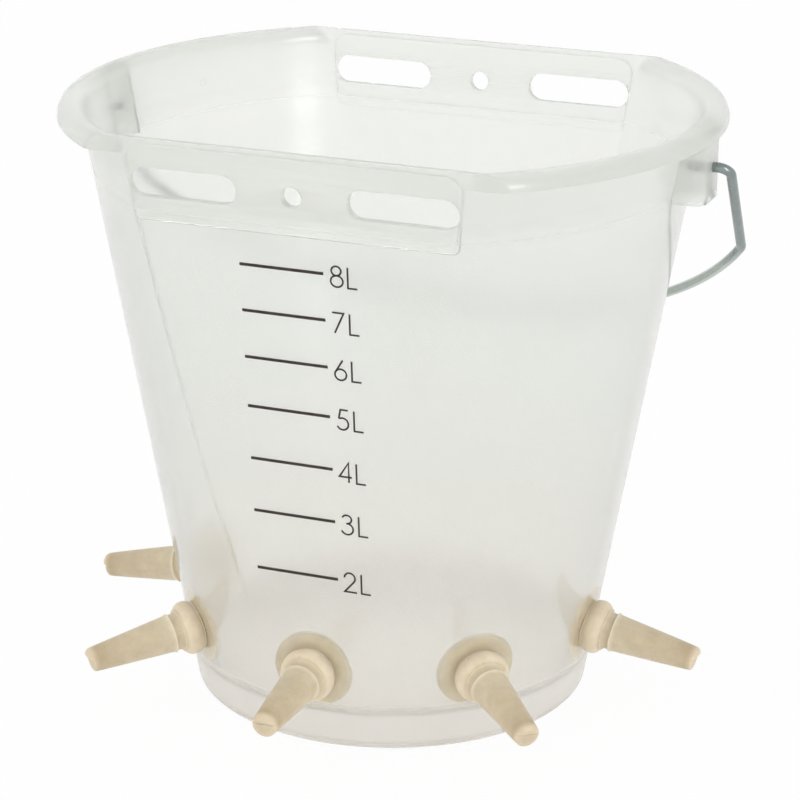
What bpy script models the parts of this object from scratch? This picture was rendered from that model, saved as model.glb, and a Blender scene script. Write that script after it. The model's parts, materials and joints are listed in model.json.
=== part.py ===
"""Multi-teat milk feeder: a moulded bucket with two hanging bands, a wire bail and five pull-in teats.

Metres, +Z up. The floor is at z = 0. X runs through the two ears, and -Y faces the graduated front.
"""

import math

import bmesh
import bpy
from mathutils import Matrix, Vector

for old_object in list(bpy.data.objects):
    bpy.data.objects.remove(old_object, do_unlink=True)

# Tub: a round cone, cut by a leaning flat at the front and at the back
TUB_HEIGHT = 0.2820
BASE_RADIUS = 0.0914
TOP_RADIUS = 0.1409
FLAT_PAST_BASE = 0.0022
FLAT_CUT_AT_TOP = 0.0247
WALL = 0.0020

# Floor and foot ring
FLOOR_HEIGHT = 0.0208
FLOOR_THICKNESS = 0.0022
FLOOR_CORNER = 0.0015
FOOT_ROUNDING = 0.0045
FOOT_LAND = 0.0025
FOOT_LIP_HEIGHT = 0.0015
NOTCH_WIDTH = 0.0100
NOTCH_HEIGHT = 0.0035
NOTCH_BEHIND_AXIS = 0.0080

# Rolled rim on the two round ends, an arch in section that is open below
RIM_HALF_WIDTH = 0.0063
RIM_SKIRT = 0.0013
RIM_WALL = 0.0021
RIM_LAND_ANGLE = math.radians(75)
RIM_LEDGE = 0.0002

# Hanging bands, the thick upper part of each flat
BAND_BELOW_TOP = 0.0024
BAND_DEPTH = 0.0303
BAND_PAST_EDGE_BELOW = 0.0006
BAND_SHORT_OF_EDGE_ABOVE = 0.0020
BAND_PROUD_OUTSIDE = 0.0008
BAND_PROUD_INSIDE = 0.0017
BAND_RAMP = 0.0045
BAND_LOWER_CORNER = 0.0035
BAND_UPPER_CORNER = 0.0070
SLOT_LENGTH = 0.0500
SLOT_WIDTH = 0.0130
SLOT_SPACING = 0.1005
SLOT_BELOW_TOP = 0.0193
PEG_HOLE_DIAMETER = 0.0090

# Ears, the two hollow lugs that take the wire
EAR_REACH = 0.0081
EAR_WIDTH = 0.0240
EAR_DEPTH = 0.0335
EAR_WALL = 0.0020
EAR_CORNER = 0.0040

# Bail, a bent wire
WIRE_DIAMETER = 0.0045
WIRE_HOLE_CLEARANCE = 0.00035
WIRE_END_GAP = 0.0005
PIVOT_BELOW_TOP = 0.0190
BAIL_CLEAR_OF_EAR = 0.0082
BAIL_CORNER_INSET = 0.0072
BAIL_CORNER_REACH = 0.0708
BAIL_SAG = 0.0905
BAIL_PIVOT_BEND = 0.0052
BAIL_CORNER_BEND = 0.0085
BAIL_SEAT_GAP = 0.0003

# Teats, pulled through round holes square to the wall
TEAT_HEIGHT = 0.0390
TEAT_HOLE_DIAMETER = 0.0200
TEAT_GAP = 0.0003
TEAT_LENGTH = 0.0540
TEAT_COLLAR_DIAMETER = 0.0250
TEAT_COLLAR_HEIGHT = 0.0078
TEAT_NECK_DIAMETER = 0.0168
TEAT_RING_HEIGHT = 0.0130
TEAT_RING_DIAMETER = 0.0184
TEAT_ROOT_DIAMETER = 0.0174
TEAT_TIP_DIAMETER = 0.0112
TEAT_TIP_ROUNDING = 0.0038
TEAT_FLANGE_DIAMETER = 0.0368
TEAT_FLANGE_THICKNESS = 0.0025
TEAT_BORE_DIAMETER = 0.0110
TEAT_BORE_TIP_DIAMETER = 0.0052
TEAT_TIP_WALL = 0.0035
TEAT_SLIT_LENGTH = 0.0036
TEAT_SLIT_WIDTH = 0.0006
TEAT_ANGLES = {
    "teat_left": 180,
    "teat_front_left": 225,
    "teat_front": 270,
    "teat_front_right": 315,
    "teat_right": 0,
}

# Fineness of the round shapes
TUB_STEPS = 88
TEAT_STEPS = 24
ARC_STEPS = 4
BAIL_ARC_STEPS = 44
BAIL_BEND_STEPS = 7
OVERSHOOT = 0.0040
MERGE_DISTANCE = 0.00001

# Worked out from the sizes above
FLAT_AT_BASE = BASE_RADIUS + FLAT_PAST_BASE
FLAT_AT_TOP = TOP_RADIUS - FLAT_CUT_AT_TOP
BAND_TOP = TUB_HEIGHT - BAND_BELOW_TOP
BAND_BOTTOM = BAND_TOP - BAND_DEPTH
SLOT_HEIGHT = TUB_HEIGHT - SLOT_BELOW_TOP
EAR_FACE = TOP_RADIUS + EAR_REACH
EAR_BOTTOM = TUB_HEIGHT - EAR_DEPTH
PIVOT_HEIGHT = TUB_HEIGHT - PIVOT_BELOW_TOP
BAIL_HALF_WIDTH = EAR_FACE + BAIL_CLEAR_OF_EAR
BAIL_CORNER_X = BAIL_HALF_WIDTH - BAIL_CORNER_INSET
BAIL_REACH = BAIL_CORNER_REACH + BAIL_SAG
CONE_SLOPE = (TOP_RADIUS - BASE_RADIUS) / TUB_HEIGHT
FLAT_SLOPE = (FLAT_AT_TOP - FLAT_AT_BASE) / TUB_HEIGHT
CONE_LEAN = math.atan(CONE_SLOPE)
FLAT_LEAN = math.atan(FLAT_SLOPE)
WIRE_RADIUS = WIRE_DIAMETER / 2
FLOOR_UNDERSIDE = FLOOR_HEIGHT - FLOOR_THICKNESS
RIM_ARCH_HEIGHT = TUB_HEIGHT - RIM_HALF_WIDTH
SKIRT_BOTTOM = RIM_ARCH_HEIGHT - RIM_SKIRT


def tub_radius(height, offset=0.0):
    """Radius of the cone at a height, moved out by an offset square to the wall."""
    return BASE_RADIUS + CONE_SLOPE * height + offset / math.cos(CONE_LEAN)


def flat_distance(height, offset=0.0):
    """Distance of a flat from the tub's axis at a height, moved out square to the flat."""
    return FLAT_AT_BASE + FLAT_SLOPE * height + offset / math.cos(FLAT_LEAN)


def half_chord(height):
    """Half the width of a flat at a height."""
    return math.sqrt(tub_radius(height) ** 2 - flat_distance(height) ** 2)


def bail_arc():
    """Centre, along the bail's reach, and radius of the arc through both corners and the middle."""
    drop = BAIL_REACH - BAIL_CORNER_REACH
    radius = (BAIL_CORNER_X ** 2 + drop ** 2) / (2 * drop)
    return BAIL_REACH - radius, radius


def bail_gap(angle):
    """Least distance between the wire's centre line and the wall, hanging at an angle to the rear."""
    centre, radius = bail_arc()
    gaps = []
    for step in range(BAIL_ARC_STEPS + 1):
        x = BAIL_CORNER_X * step / BAIL_ARC_STEPS
        reach = centre + math.sqrt(radius ** 2 - x ** 2)
        y = reach * math.sin(angle)
        height = PIVOT_HEIGHT - reach * math.cos(angle)
        from_flat = (y - flat_distance(height)) * math.cos(FLAT_LEAN)
        from_cone = (math.hypot(x, y) - tub_radius(height)) * math.cos(CONE_LEAN)
        gaps.append(max(from_flat, from_cone))
    return min(gaps)


def bail_rest_angle():
    """Angle from straight down at which the bail comes to rest against the rear of the tub."""
    low = 0.0
    high = math.radians(120)
    for _ in range(40):
        middle = (low + high) / 2
        if bail_gap(middle) < WIRE_RADIUS + BAIL_SEAT_GAP:
            low = middle
        else:
            high = middle
    return high


# The part's origin is the middle of its footprint, and the teats reach further than the bail
REST_ANGLE = bail_rest_angle()
FRONT_REACH = flat_distance(TEAT_HEIGHT) + TEAT_LENGTH * math.cos(FLAT_LEAN)
REAR_REACH = max(
    BAIL_REACH * math.sin(REST_ANGLE) + WIRE_RADIUS,
    flat_distance(BAND_TOP, BAND_PROUD_OUTSIDE),
    FLAT_AT_TOP,
)
TUB_AXIS_Y = (FRONT_REACH - REAR_REACH) / 2

parts = bpy.data.collections.new("multi_teat_milk_feeder")
cutters = bpy.data.collections.new("feeder_cutters")
bpy.context.scene.collection.children.link(parts)
bpy.context.scene.collection.children.link(cutters)

tub_axis = bpy.data.objects.new("tub_axis", None)
tub_axis.location = (0, TUB_AXIS_Y, 0)
parts.objects.link(tub_axis)


def add_object(name, mesh, matrix=None, collection=cutters, parent=tub_axis):
    """An object placed from the tub's axis. Those in the cutters' collection are only tools."""
    item = bpy.data.objects.new(name, mesh)
    collection.objects.link(item)
    item.parent = parent
    if matrix is not None:
        item.matrix_local = matrix
    if collection is cutters:
        item.hide_render = True
        item.display_type = "WIRE"
    return item


def turned(name, profile, steps, ring=False, matrix=None, half_step=False):
    """A turned solid. The profile's outer side runs from top to bottom; a ring's profile closes.

    A half step turns the facets, so that a cutter's edges don't fall on the edges that it cuts.
    """
    mesh = bpy.data.meshes.new(name)
    points = [(radius, 0, height) for radius, height in profile]
    edges = [(i, i + 1) for i in range(len(points) - 1)]
    if ring:
        edges.append((len(points) - 1, 0))
    mesh.from_pydata(points, edges, [])
    if half_step:
        mesh.transform(Matrix.Rotation(math.pi / steps, 4, "Z"))
    item = add_object(name, mesh, matrix)
    screw = item.modifiers.new("turn", "SCREW")
    screw.axis = "Z"
    screw.steps = steps
    screw.render_steps = steps
    screw.use_merge_vertices = True
    screw.merge_threshold = MERGE_DISTANCE
    return item


def combine(item, tool, operation):
    """A Boolean modifier with the exact solver."""
    boolean = item.modifiers.new(operation.lower() + "_" + tool.name, "BOOLEAN")
    boolean.operation = operation
    boolean.solver = "EXACT"
    boolean.object = tool
    return item


def arc(centre, radius, start, end, steps=ARC_STEPS):
    """Points on an arc in a plane, from one angle to another, both ends included."""
    points = []
    for step in range(steps + 1):
        angle = start + (end - start) * step / steps
        points.append((centre[0] + radius * math.cos(angle), centre[1] + radius * math.sin(angle)))
    return points


def rounded(corners, steps=ARC_STEPS):
    """An open or closed run of straight lines whose corners are arcs: (point, radius) each."""
    points = []
    count = len(corners)
    for index, (corner, radius) in enumerate(corners):
        here = Vector(corner)
        if radius == 0:
            points.append(tuple(here))
            continue
        before = (Vector(corners[index - 1][0]) - here).normalized()
        after = (Vector(corners[(index + 1) % count][0]) - here).normalized()
        half = before.angle(after) / 2
        centre = here + (before + after).normalized() * radius / math.sin(half)
        start = here + before * radius / math.tan(half) - centre
        finish = here + after * radius / math.tan(half) - centre
        turn = start.angle(finish)
        for step in range(steps + 1):
            share = step / steps
            weight_start = math.sin((1 - share) * turn) / math.sin(turn)
            weight_finish = math.sin(share * turn) / math.sin(turn)
            points.append(tuple(centre + start * weight_start + finish * weight_finish))
    return points


def plate(name, outline, thickness, matrix):
    """A flat outline in the matrix's XY plane, thick equally to both sides along its Z."""
    curve = bpy.data.curves.new(name, "CURVE")
    curve.dimensions = "2D"
    curve.fill_mode = "BOTH"
    curve.extrude = thickness / 2
    spline = curve.splines.new("POLY")
    spline.points.add(len(outline) - 1)
    for point, (x, y) in zip(spline.points, outline):
        point.co = (x, y, 0, 1)
    spline.use_cyclic_u = True
    source = bpy.data.objects.new(name + "_outline", curve)
    cutters.objects.link(source)
    bpy.context.view_layer.update()
    evaluated = source.evaluated_get(bpy.context.evaluated_depsgraph_get())
    mesh = bpy.data.meshes.new_from_object(evaluated)
    bpy.data.objects.remove(source, do_unlink=True)
    body = bmesh.new()
    body.from_mesh(mesh)
    bmesh.ops.remove_doubles(body, verts=body.verts, dist=MERGE_DISTANCE)
    bmesh.ops.recalc_face_normals(body, faces=body.faces)
    body.to_mesh(mesh)
    body.free()
    mesh.name = name
    return add_object(name, mesh, matrix)


def rod(name, radius, low, high, matrix, steps=TEAT_STEPS):
    """A cylinder along the matrix's Z axis between two heights."""
    mesh = bpy.data.meshes.new(name)
    body = bmesh.new()
    bmesh.ops.create_cone(
        body,
        cap_ends=True,
        segments=steps,
        radius1=radius,
        radius2=radius,
        depth=high - low,
        matrix=Matrix.Translation((0, 0, (low + high) / 2)),
    )
    body.to_mesh(mesh)
    body.free()
    return add_object(name, mesh, matrix)


def block(name, low, high, matrix=None):
    """A box between two corners."""
    mesh = bpy.data.meshes.new(name)
    body = bmesh.new()
    bmesh.ops.create_cube(body, size=1)
    for vertex in body.verts:
        vertex.co = [low[i] + (high[i] - low[i]) * (vertex.co[i] + 0.5) for i in range(3)]
    body.to_mesh(mesh)
    body.free()
    return add_object(name, mesh, matrix)


def between_flats(name, offset):
    """The space between the two leaning flats, widened or narrowed by an offset."""
    item = block(name, (-1, -1, -1), (1, 1, 1))
    reach = TOP_RADIUS * 2
    for vertex in item.data.vertices:
        height = TUB_HEIGHT * 1.5 if vertex.co.z > 0 else -TUB_HEIGHT * 0.5
        side = math.copysign(1, vertex.co.y)
        vertex.co = (vertex.co.x * reach, side * flat_distance(height, offset), height)
    return item


def frame_on(point, outward, along):
    """A matrix whose Z is the outward normal, and whose X is as near the given direction as can be."""
    z_axis = Vector(outward).normalized()
    y_axis = z_axis.cross(Vector(along)).normalized()
    x_axis = y_axis.cross(z_axis)
    matrix = Matrix((x_axis, y_axis, z_axis)).transposed().to_4x4()
    matrix.translation = Vector(point)
    return matrix


def flat_frame(side, height):
    """On the middle line of a flat's outer face: X level, Y up the face, Z outward."""
    point = (0, side * flat_distance(height), height)
    return frame_on(point, (0, side, -FLAT_SLOPE), (-side, 0, 0))


def teat_frame(angle):
    """Where a teat's axis leaves the outer wall: Z outward along the teat, X level."""
    turn = math.radians(angle)
    radius = tub_radius(TEAT_HEIGHT)
    slope = CONE_SLOPE
    if abs(math.sin(turn)) * radius > flat_distance(TEAT_HEIGHT):
        radius = flat_distance(TEAT_HEIGHT) / abs(math.sin(turn))
        slope = FLAT_SLOPE
    outward = Vector((math.cos(turn), math.sin(turn), -slope))
    point = (radius * math.cos(turn), radius * math.sin(turn), TEAT_HEIGHT)
    return frame_on(point, outward, (-math.sin(turn), math.cos(turn), 0))


def between_facets(frame, steps=TEAT_STEPS):
    """The frame turned a little about its own axis, so that no edges of two round shapes coincide."""
    return frame @ Matrix.Rotation(math.pi / steps / 2, 4, "Z")


def envelope(name, offset, half_step=False):
    """The filled tub up to above the teats, its surface moved out by an offset."""
    low = -OVERSHOOT
    high = TEAT_HEIGHT + TEAT_FLANGE_DIAMETER
    profile = [
        (0, high),
        (tub_radius(high, offset), high),
        (tub_radius(low, offset), low),
        (0, low),
    ]
    solid = turned(name, profile, TUB_STEPS, half_step=half_step)
    return combine(solid, between_flats(name + "_flats", offset), "INTERSECT")


def material(name, colour, roughness, metallic=0.0, transmission=0.0):
    """A Principled material."""
    finish = bpy.data.materials.new(name)
    finish.use_nodes = True
    finish.diffuse_color = (*colour, 1)
    shader = finish.node_tree.nodes["Principled BSDF"]
    shader.inputs["Base Color"].default_value = (*colour, 1)
    shader.inputs["Roughness"].default_value = roughness
    shader.inputs["Metallic"].default_value = metallic
    shader.inputs["Transmission Weight"].default_value = transmission
    return finish


def finish_part(item, name, finish, parent=tub_axis):
    """Move a finished solid from the cutters to the parts, with its name, material and shading."""
    cutters.objects.unlink(item)
    parts.objects.link(item)
    item.name = name
    item.parent = parent
    item.hide_render = False
    item.display_type = "TEXTURED"
    item.data.materials.append(finish)
    item.data.shade_smooth()
    shading = item.modifiers.new("shading_by_face_area", "WEIGHTED_NORMAL")
    shading.keep_sharp = True
    return item


# Bucket: the turned outside, cut by the flats and hollowed

rim_inner = tub_radius(RIM_ARCH_HEIGHT, -WALL)
rim_centre = rim_inner + RIM_HALF_WIDTH
rim_outer = rim_centre + RIM_HALF_WIDTH


def rim_arch(radius, start, end, centre=rim_centre):
    """Points on the rim's arch, counted from the tub's side over the top."""
    return arc((centre, RIM_ARCH_HEIGHT), radius, math.pi - start, math.pi - end)


def tub_outside():
    """The filled outer shape with the rim all the way round."""
    foot_centre = (tub_radius(FOOT_ROUNDING) - FOOT_ROUNDING, FOOT_ROUNDING)
    profile = [(0, TUB_HEIGHT)]
    crown = rim_centre + RIM_HALF_WIDTH * math.cos(RIM_LAND_ANGLE)
    crown_drop = RIM_HALF_WIDTH * (1 - math.sin(RIM_LAND_ANGLE))
    profile.append((crown - crown_drop / math.tan(math.pi / 2 - RIM_LAND_ANGLE), TUB_HEIGHT))
    profile += rim_arch(RIM_HALF_WIDTH, math.pi - RIM_LAND_ANGLE, math.pi)
    profile.append((rim_outer, SKIRT_BOTTOM))
    profile.append((tub_radius(SKIRT_BOTTOM), SKIRT_BOTTOM))
    profile += arc(foot_centre, FOOT_ROUNDING, 0, -math.pi / 2)
    profile.append((0, 0))
    return turned("tub_outside", profile, TUB_STEPS)


def tub_inside():
    """The space inside the walls, which opens out over the inner half of the rim's arch."""
    land = rim_centre - RIM_HALF_WIDTH * math.cos(RIM_LAND_ANGLE)
    rise = math.tan(math.pi / 2 - RIM_LAND_ANGLE)
    above = RIM_HALF_WIDTH / 2
    land_height = RIM_ARCH_HEIGHT + RIM_HALF_WIDTH * math.sin(RIM_LAND_ANGLE)
    profile = [(0, TUB_HEIGHT + above)]
    profile.append((land + (TUB_HEIGHT + above - land_height) / rise, TUB_HEIGHT + above))
    profile += list(reversed(rim_arch(RIM_HALF_WIDTH, 0, RIM_LAND_ANGLE)))
    corner_height = FLOOR_HEIGHT + FLOOR_CORNER
    corner = (tub_radius(corner_height, -WALL) - FLOOR_CORNER, corner_height)
    profile += arc(corner, FLOOR_CORNER, 0, -math.pi / 2)
    profile.append((0, FLOOR_HEIGHT))
    return turned("tub_inside", profile, TUB_STEPS, half_step=True)


def rim_hollow():
    """The channel under the rim, open below, which stops at a web in the plane of each flat."""
    inner = tub_radius(SKIRT_BOTTOM) + RIM_LEDGE
    outer = rim_outer - RIM_WALL
    radius = (outer - inner) / 2
    low = SKIRT_BOTTOM - OVERSHOOT / 2
    profile = [(inner, low)]
    profile += rim_arch(radius, 0, math.pi, (inner + outer) / 2)
    profile.append((outer, low))
    return turned("rim_hollow", profile, TUB_STEPS, ring=True, half_step=True)


def foot_recess():
    """The space under the floor, inside the foot ring."""
    lip = tub_radius(FOOT_ROUNDING) - FOOT_ROUNDING - FOOT_LAND
    profile = [
        (0, FLOOR_UNDERSIDE),
        (tub_radius(FLOOR_UNDERSIDE, -WALL), FLOOR_UNDERSIDE),
        (tub_radius(FOOT_ROUNDING, -WALL), FOOT_ROUNDING),
        (lip, FOOT_LIP_HEIGHT),
        (lip, -OVERSHOOT),
        (0, -OVERSHOOT),
    ]
    return turned("foot_recess", profile, TUB_STEPS, half_step=True)


def ear(side):
    """One hollow lug: side walls and a face, open below, closed above by the rim."""
    tag = "right" if side > 0 else "left"
    half = EAR_WIDTH / 2
    inside = tub_radius(EAR_BOTTOM) - EAR_WIDTH / 2
    top = TUB_HEIGHT - RIM_WALL / 2
    shoulder = RIM_ARCH_HEIGHT + RIM_SKIRT

    def plan(face, width, corner):
        return rounded([
            ((inside, -width), 0),
            ((face, -width), corner),
            ((face, width), corner),
            ((inside, width), 0),
        ])

    def profile(face, low, upper, high):
        return [(inside, low), (face, low), (face, upper), (rim_centre, high), (inside, high)]

    tall = Matrix.Translation((0, 0, (EAR_BOTTOM + top) / 2))
    if side < 0:
        tall = Matrix.Rotation(math.pi, 4, "Z") @ tall
    across = frame_on((0, 0, 0), (0, -side, 0), (side, 0, 0))
    height = top - EAR_BOTTOM
    body = plate("ear_" + tag, plan(EAR_FACE, half, EAR_CORNER), height, tall)
    shape = plate("ear_shape_" + tag, profile(EAR_FACE + EAR_WALL, EAR_BOTTOM - EAR_WALL,
                                              shoulder, top), EAR_WIDTH * 2, across)
    combine(body, shape, "INTERSECT")
    inner_face = EAR_FACE - EAR_WALL
    inner_corner = max(EAR_CORNER - EAR_WALL, EAR_WALL / 4)
    pocket = plate("ear_pocket_" + tag, plan(inner_face, half - EAR_WALL, inner_corner),
                   height * 2, tall)
    pocket_shape = plate("ear_pocket_shape_" + tag, profile(
        inner_face + EAR_WALL / 2, EAR_BOTTOM - height, shoulder - EAR_WALL / 4, top - RIM_WALL
    ), EAR_WIDTH * 2, across)
    combine(pocket, pocket_shape, "INTERSECT")
    combine(body, pocket, "DIFFERENCE")
    return body


def wire_hole(side):
    """The hole through an ear's face for the end of the wire."""
    frame = frame_on((side * EAR_FACE, 0, PIVOT_HEIGHT), (side, 0, 0), (0, 1, 0))
    radius = WIRE_RADIUS + WIRE_HOLE_CLEARANCE
    tag = "right" if side > 0 else "left"
    return rod("wire_hole_" + tag, radius, -EAR_WALL * 1.5, EAR_WALL, frame, TEAT_STEPS // 2)


def band_outline(grow):
    """Outline of a hanging band in its flat's frame, grown downward for the inner ramp."""
    lean = math.cos(FLAT_LEAN)
    low = (BAND_BOTTOM - SLOT_HEIGHT - grow) / lean
    high = (BAND_TOP - SLOT_HEIGHT) / lean
    lower = half_chord(BAND_BOTTOM) + BAND_PAST_EDGE_BELOW
    upper = half_chord(BAND_TOP) - BAND_SHORT_OF_EDGE_ABOVE
    return rounded([
        ((-lower, low), BAND_LOWER_CORNER),
        ((lower, low), BAND_LOWER_CORNER),
        ((upper, high), BAND_UPPER_CORNER),
        ((-upper, high), BAND_UPPER_CORNER),
    ])


def band(side, inner):
    """One hanging band: a pad outside the flat, and a deeper one inside with a soft edge."""
    tag = ("rear" if side > 0 else "front") + ("_inner" if inner else "_outer")
    proud = BAND_PROUD_INSIDE if inner else BAND_PROUD_OUTSIDE
    surface = -WALL if inner else 0
    bedded = WALL / 2
    thickness = proud + bedded
    middle = surface - (proud - bedded) / 2 if inner else surface + (proud - bedded) / 2
    place = flat_frame(side, SLOT_HEIGHT) @ Matrix.Translation((0, 0, middle))
    pad = plate("band_" + tag, band_outline(BAND_RAMP if inner else 0), thickness, place)
    bevel = pad.modifiers.new("soft_edge", "BEVEL")
    bevel.width = thickness * 0.45
    bevel.segments = 2
    bevel.limit_method = "ANGLE"
    bevel.angle_limit = math.radians(60)
    return pad


def slot_outline():
    """A slot with round ends."""
    radius = SLOT_WIDTH / 2
    reach = SLOT_LENGTH / 2 - radius
    points = arc((reach, 0), radius, -math.pi / 2, math.pi / 2, ARC_STEPS * 2)
    points += arc((-reach, 0), radius, math.pi / 2, math.pi * 1.5, ARC_STEPS * 2)
    return points


def make_bucket():
    """The whole moulding."""
    bucket = tub_outside()
    combine(bucket, between_flats("outer_flats", 0), "INTERSECT")
    inner_flats = between_flats("inner_flats", -WALL)
    combine(bucket, combine(rim_hollow(), inner_flats, "INTERSECT"), "DIFFERENCE")
    for side in (-1, 1):
        combine(bucket, ear(side), "UNION")
        combine(bucket, band(side, inner=False), "UNION")
    combine(bucket, combine(tub_inside(), inner_flats, "INTERSECT"), "DIFFERENCE")
    combine(bucket, foot_recess(), "DIFFERENCE")
    cut_depth = (WALL + BAND_PROUD_INSIDE + BAND_PROUD_OUTSIDE) * 4
    for side in (-1, 1):
        combine(bucket, band(side, inner=True), "UNION")
        combine(bucket, wire_hole(side), "DIFFERENCE")
        tag = "rear" if side > 0 else "front"
        middle = flat_frame(side, SLOT_HEIGHT)
        for place in (-1, 1):
            shift = Matrix.Translation((place * SLOT_SPACING / 2, 0, 0))
            name = "slot_" + tag + ("_a" if place < 0 else "_b")
            combine(bucket, plate(name, slot_outline(), cut_depth, middle @ shift), "DIFFERENCE")
        peg = rod("peg_hole_" + tag, PEG_HOLE_DIAMETER / 2, -cut_depth / 2, cut_depth / 2, middle, 20)
        combine(bucket, peg, "DIFFERENCE")
        beyond = side * BASE_RADIUS
        low = (min(beyond - OVERSHOOT * 3, beyond + OVERSHOOT), NOTCH_BEHIND_AXIS - NOTCH_WIDTH / 2)
        high = (max(beyond + OVERSHOOT * 3, beyond - OVERSHOOT), NOTCH_BEHIND_AXIS + NOTCH_WIDTH / 2)
        notch = block("notch_" + str(side), (*low, -OVERSHOOT), (*high, NOTCH_HEIGHT))
        combine(bucket, notch, "DIFFERENCE")
    for name, angle in TEAT_ANGLES.items():
        place = between_facets(teat_frame(angle))
        hole = rod("hole_" + name, TEAT_HOLE_DIAMETER / 2, -WALL * 4, WALL * 3, place)
        combine(bucket, hole, "DIFFERENCE")
    return bucket


# Teats: a turned nozzle outside, a neck through the hole and a flange that follows the inner wall

outer_clear = envelope("outside_of_wall", TEAT_GAP)
inner_clear = envelope("inside_of_wall", -WALL - TEAT_GAP, half_step=True)
flange_back = envelope("back_of_flange", -WALL - TEAT_GAP - TEAT_FLANGE_THICKNESS, half_step=True)
floor_block = block(
    "floor_block",
    (-TOP_RADIUS, -TOP_RADIUS, -OVERSHOOT),
    (TOP_RADIUS, TOP_RADIUS, FLOOR_HEIGHT + FLOOR_CORNER + TEAT_GAP),
)


def nozzle_profile():
    """Outer side of the teat from its tip down to inside the wall."""
    tip = TEAT_TIP_DIAMETER / 2
    collar = TEAT_COLLAR_DIAMETER / 2
    neck = TEAT_NECK_DIAMETER / 2
    shoulder = (collar - neck) * 0.75
    profile = [(0, TEAT_LENGTH)]
    profile += arc((tip - TEAT_TIP_ROUNDING, TEAT_LENGTH - TEAT_TIP_ROUNDING), TEAT_TIP_ROUNDING,
                   math.pi / 2, 0)
    ring_width = (TEAT_RING_DIAMETER - TEAT_ROOT_DIAMETER)
    profile.append((TEAT_ROOT_DIAMETER / 2, TEAT_RING_HEIGHT + ring_width))
    profile.append((TEAT_RING_DIAMETER / 2, TEAT_RING_HEIGHT))
    profile.append((neck, TEAT_RING_HEIGHT - ring_width))
    profile.append((neck, TEAT_COLLAR_HEIGHT + shoulder * 0.3))
    profile += arc((collar - shoulder, TEAT_COLLAR_HEIGHT - shoulder), shoulder, math.pi / 2, 0)
    profile.append((collar, -OVERSHOOT))
    profile.append((0, -OVERSHOOT))
    return profile


def make_teat_mesh(name, angle):
    """One teat's mesh, measured from the tub's axis, fitted to the wall at an angle."""
    level_frame = teat_frame(angle)
    frame = between_facets(level_frame)
    body = turned(name + "_body", nozzle_profile(), TEAT_STEPS, matrix=frame)
    combine(body, outer_clear, "DIFFERENCE")
    inner_end = -WALL - TEAT_GAP - TEAT_FLANGE_THICKNESS
    neck = rod(name + "_neck", TEAT_HOLE_DIAMETER / 2 - TEAT_GAP, inner_end * 0.7, WALL, frame)
    flange = rod(name + "_flange", TEAT_FLANGE_DIAMETER / 2, inner_end * 3, OVERSHOOT, frame)
    combine(flange, inner_clear, "INTERSECT")
    combine(flange, flange_back, "DIFFERENCE")
    combine(flange, floor_block, "DIFFERENCE")
    combine(body, neck, "UNION")
    combine(body, flange, "UNION")
    bore_end = TEAT_LENGTH - TEAT_TIP_WALL
    bore = turned(name + "_bore", [
        (0, bore_end),
        (TEAT_BORE_TIP_DIAMETER / 2, bore_end),
        (TEAT_BORE_DIAMETER / 2, TEAT_COLLAR_HEIGHT),
        (TEAT_BORE_DIAMETER / 2, inner_end * 3),
        (0, inner_end * 3),
    ], TEAT_STEPS // 2, matrix=frame)
    combine(body, bore, "DIFFERENCE")
    half_slit = TEAT_SLIT_LENGTH / 2
    slit = block(
        name + "_slit",
        (-half_slit, -TEAT_SLIT_WIDTH / 2, bore_end - TEAT_TIP_WALL),
        (half_slit, TEAT_SLIT_WIDTH / 2, TEAT_LENGTH + TEAT_TIP_WALL),
        level_frame,
    )
    combine(body, slit, "DIFFERENCE")
    bpy.context.view_layer.update()
    evaluated = body.evaluated_get(bpy.context.evaluated_depsgraph_get())
    mesh = bpy.data.meshes.new_from_object(evaluated)
    mesh.transform(frame)
    mesh.name = name
    return mesh


def make_teats(finish):
    """Four teats share the mesh fitted to the cone, and the front one has its own."""
    cone_mesh = make_teat_mesh("teat_on_cone", TEAT_ANGLES["teat_right"])
    flat_mesh = make_teat_mesh("teat_on_flat", TEAT_ANGLES["teat_front"])
    for mesh in (cone_mesh, flat_mesh):
        mesh.shade_smooth()
        mesh.set_sharp_from_angle(angle=math.radians(40))
        mesh.materials.append(finish)
    for name, angle in TEAT_ANGLES.items():
        if name == "teat_front":
            add_object(name, flat_mesh, Matrix.Identity(4), parts)
        else:
            add_object(name, cone_mesh, Matrix.Rotation(math.radians(angle), 4, "Z"), parts)


# Bail: a straight end in each ear, a bend, a leaning arm, a bend and one wide arc

def bail_half():
    """Centre line of the bail's right half as (x, reach), from the wire's end to the middle."""
    centre, radius = bail_arc()
    wire_end = tub_radius(PIVOT_HEIGHT) + WIRE_END_GAP
    edge_angle = math.atan2(BAIL_CORNER_REACH - centre, BAIL_CORNER_X)
    tangent = Vector((-math.sin(edge_angle), math.cos(edge_angle)))
    corner = Vector((BAIL_CORNER_X, BAIL_CORNER_REACH))
    guide = corner + tangent * BAIL_CORNER_BEND * 3
    run = rounded([
        ((wire_end, 0), 0),
        ((BAIL_HALF_WIDTH, 0), BAIL_PIVOT_BEND),
        (tuple(corner), BAIL_CORNER_BEND),
        (tuple(guide), 0),
    ], BAIL_BEND_STEPS)
    run.pop()
    last = Vector(run[-1])
    start = math.atan2(last.y - centre, last.x)
    steps = BAIL_ARC_STEPS // 2
    for step in range(1, steps + 1):
        angle = start + (math.pi / 2 - start) * step / steps
        run.append((radius * math.cos(angle), centre + radius * math.sin(angle)))
    return run


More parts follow.
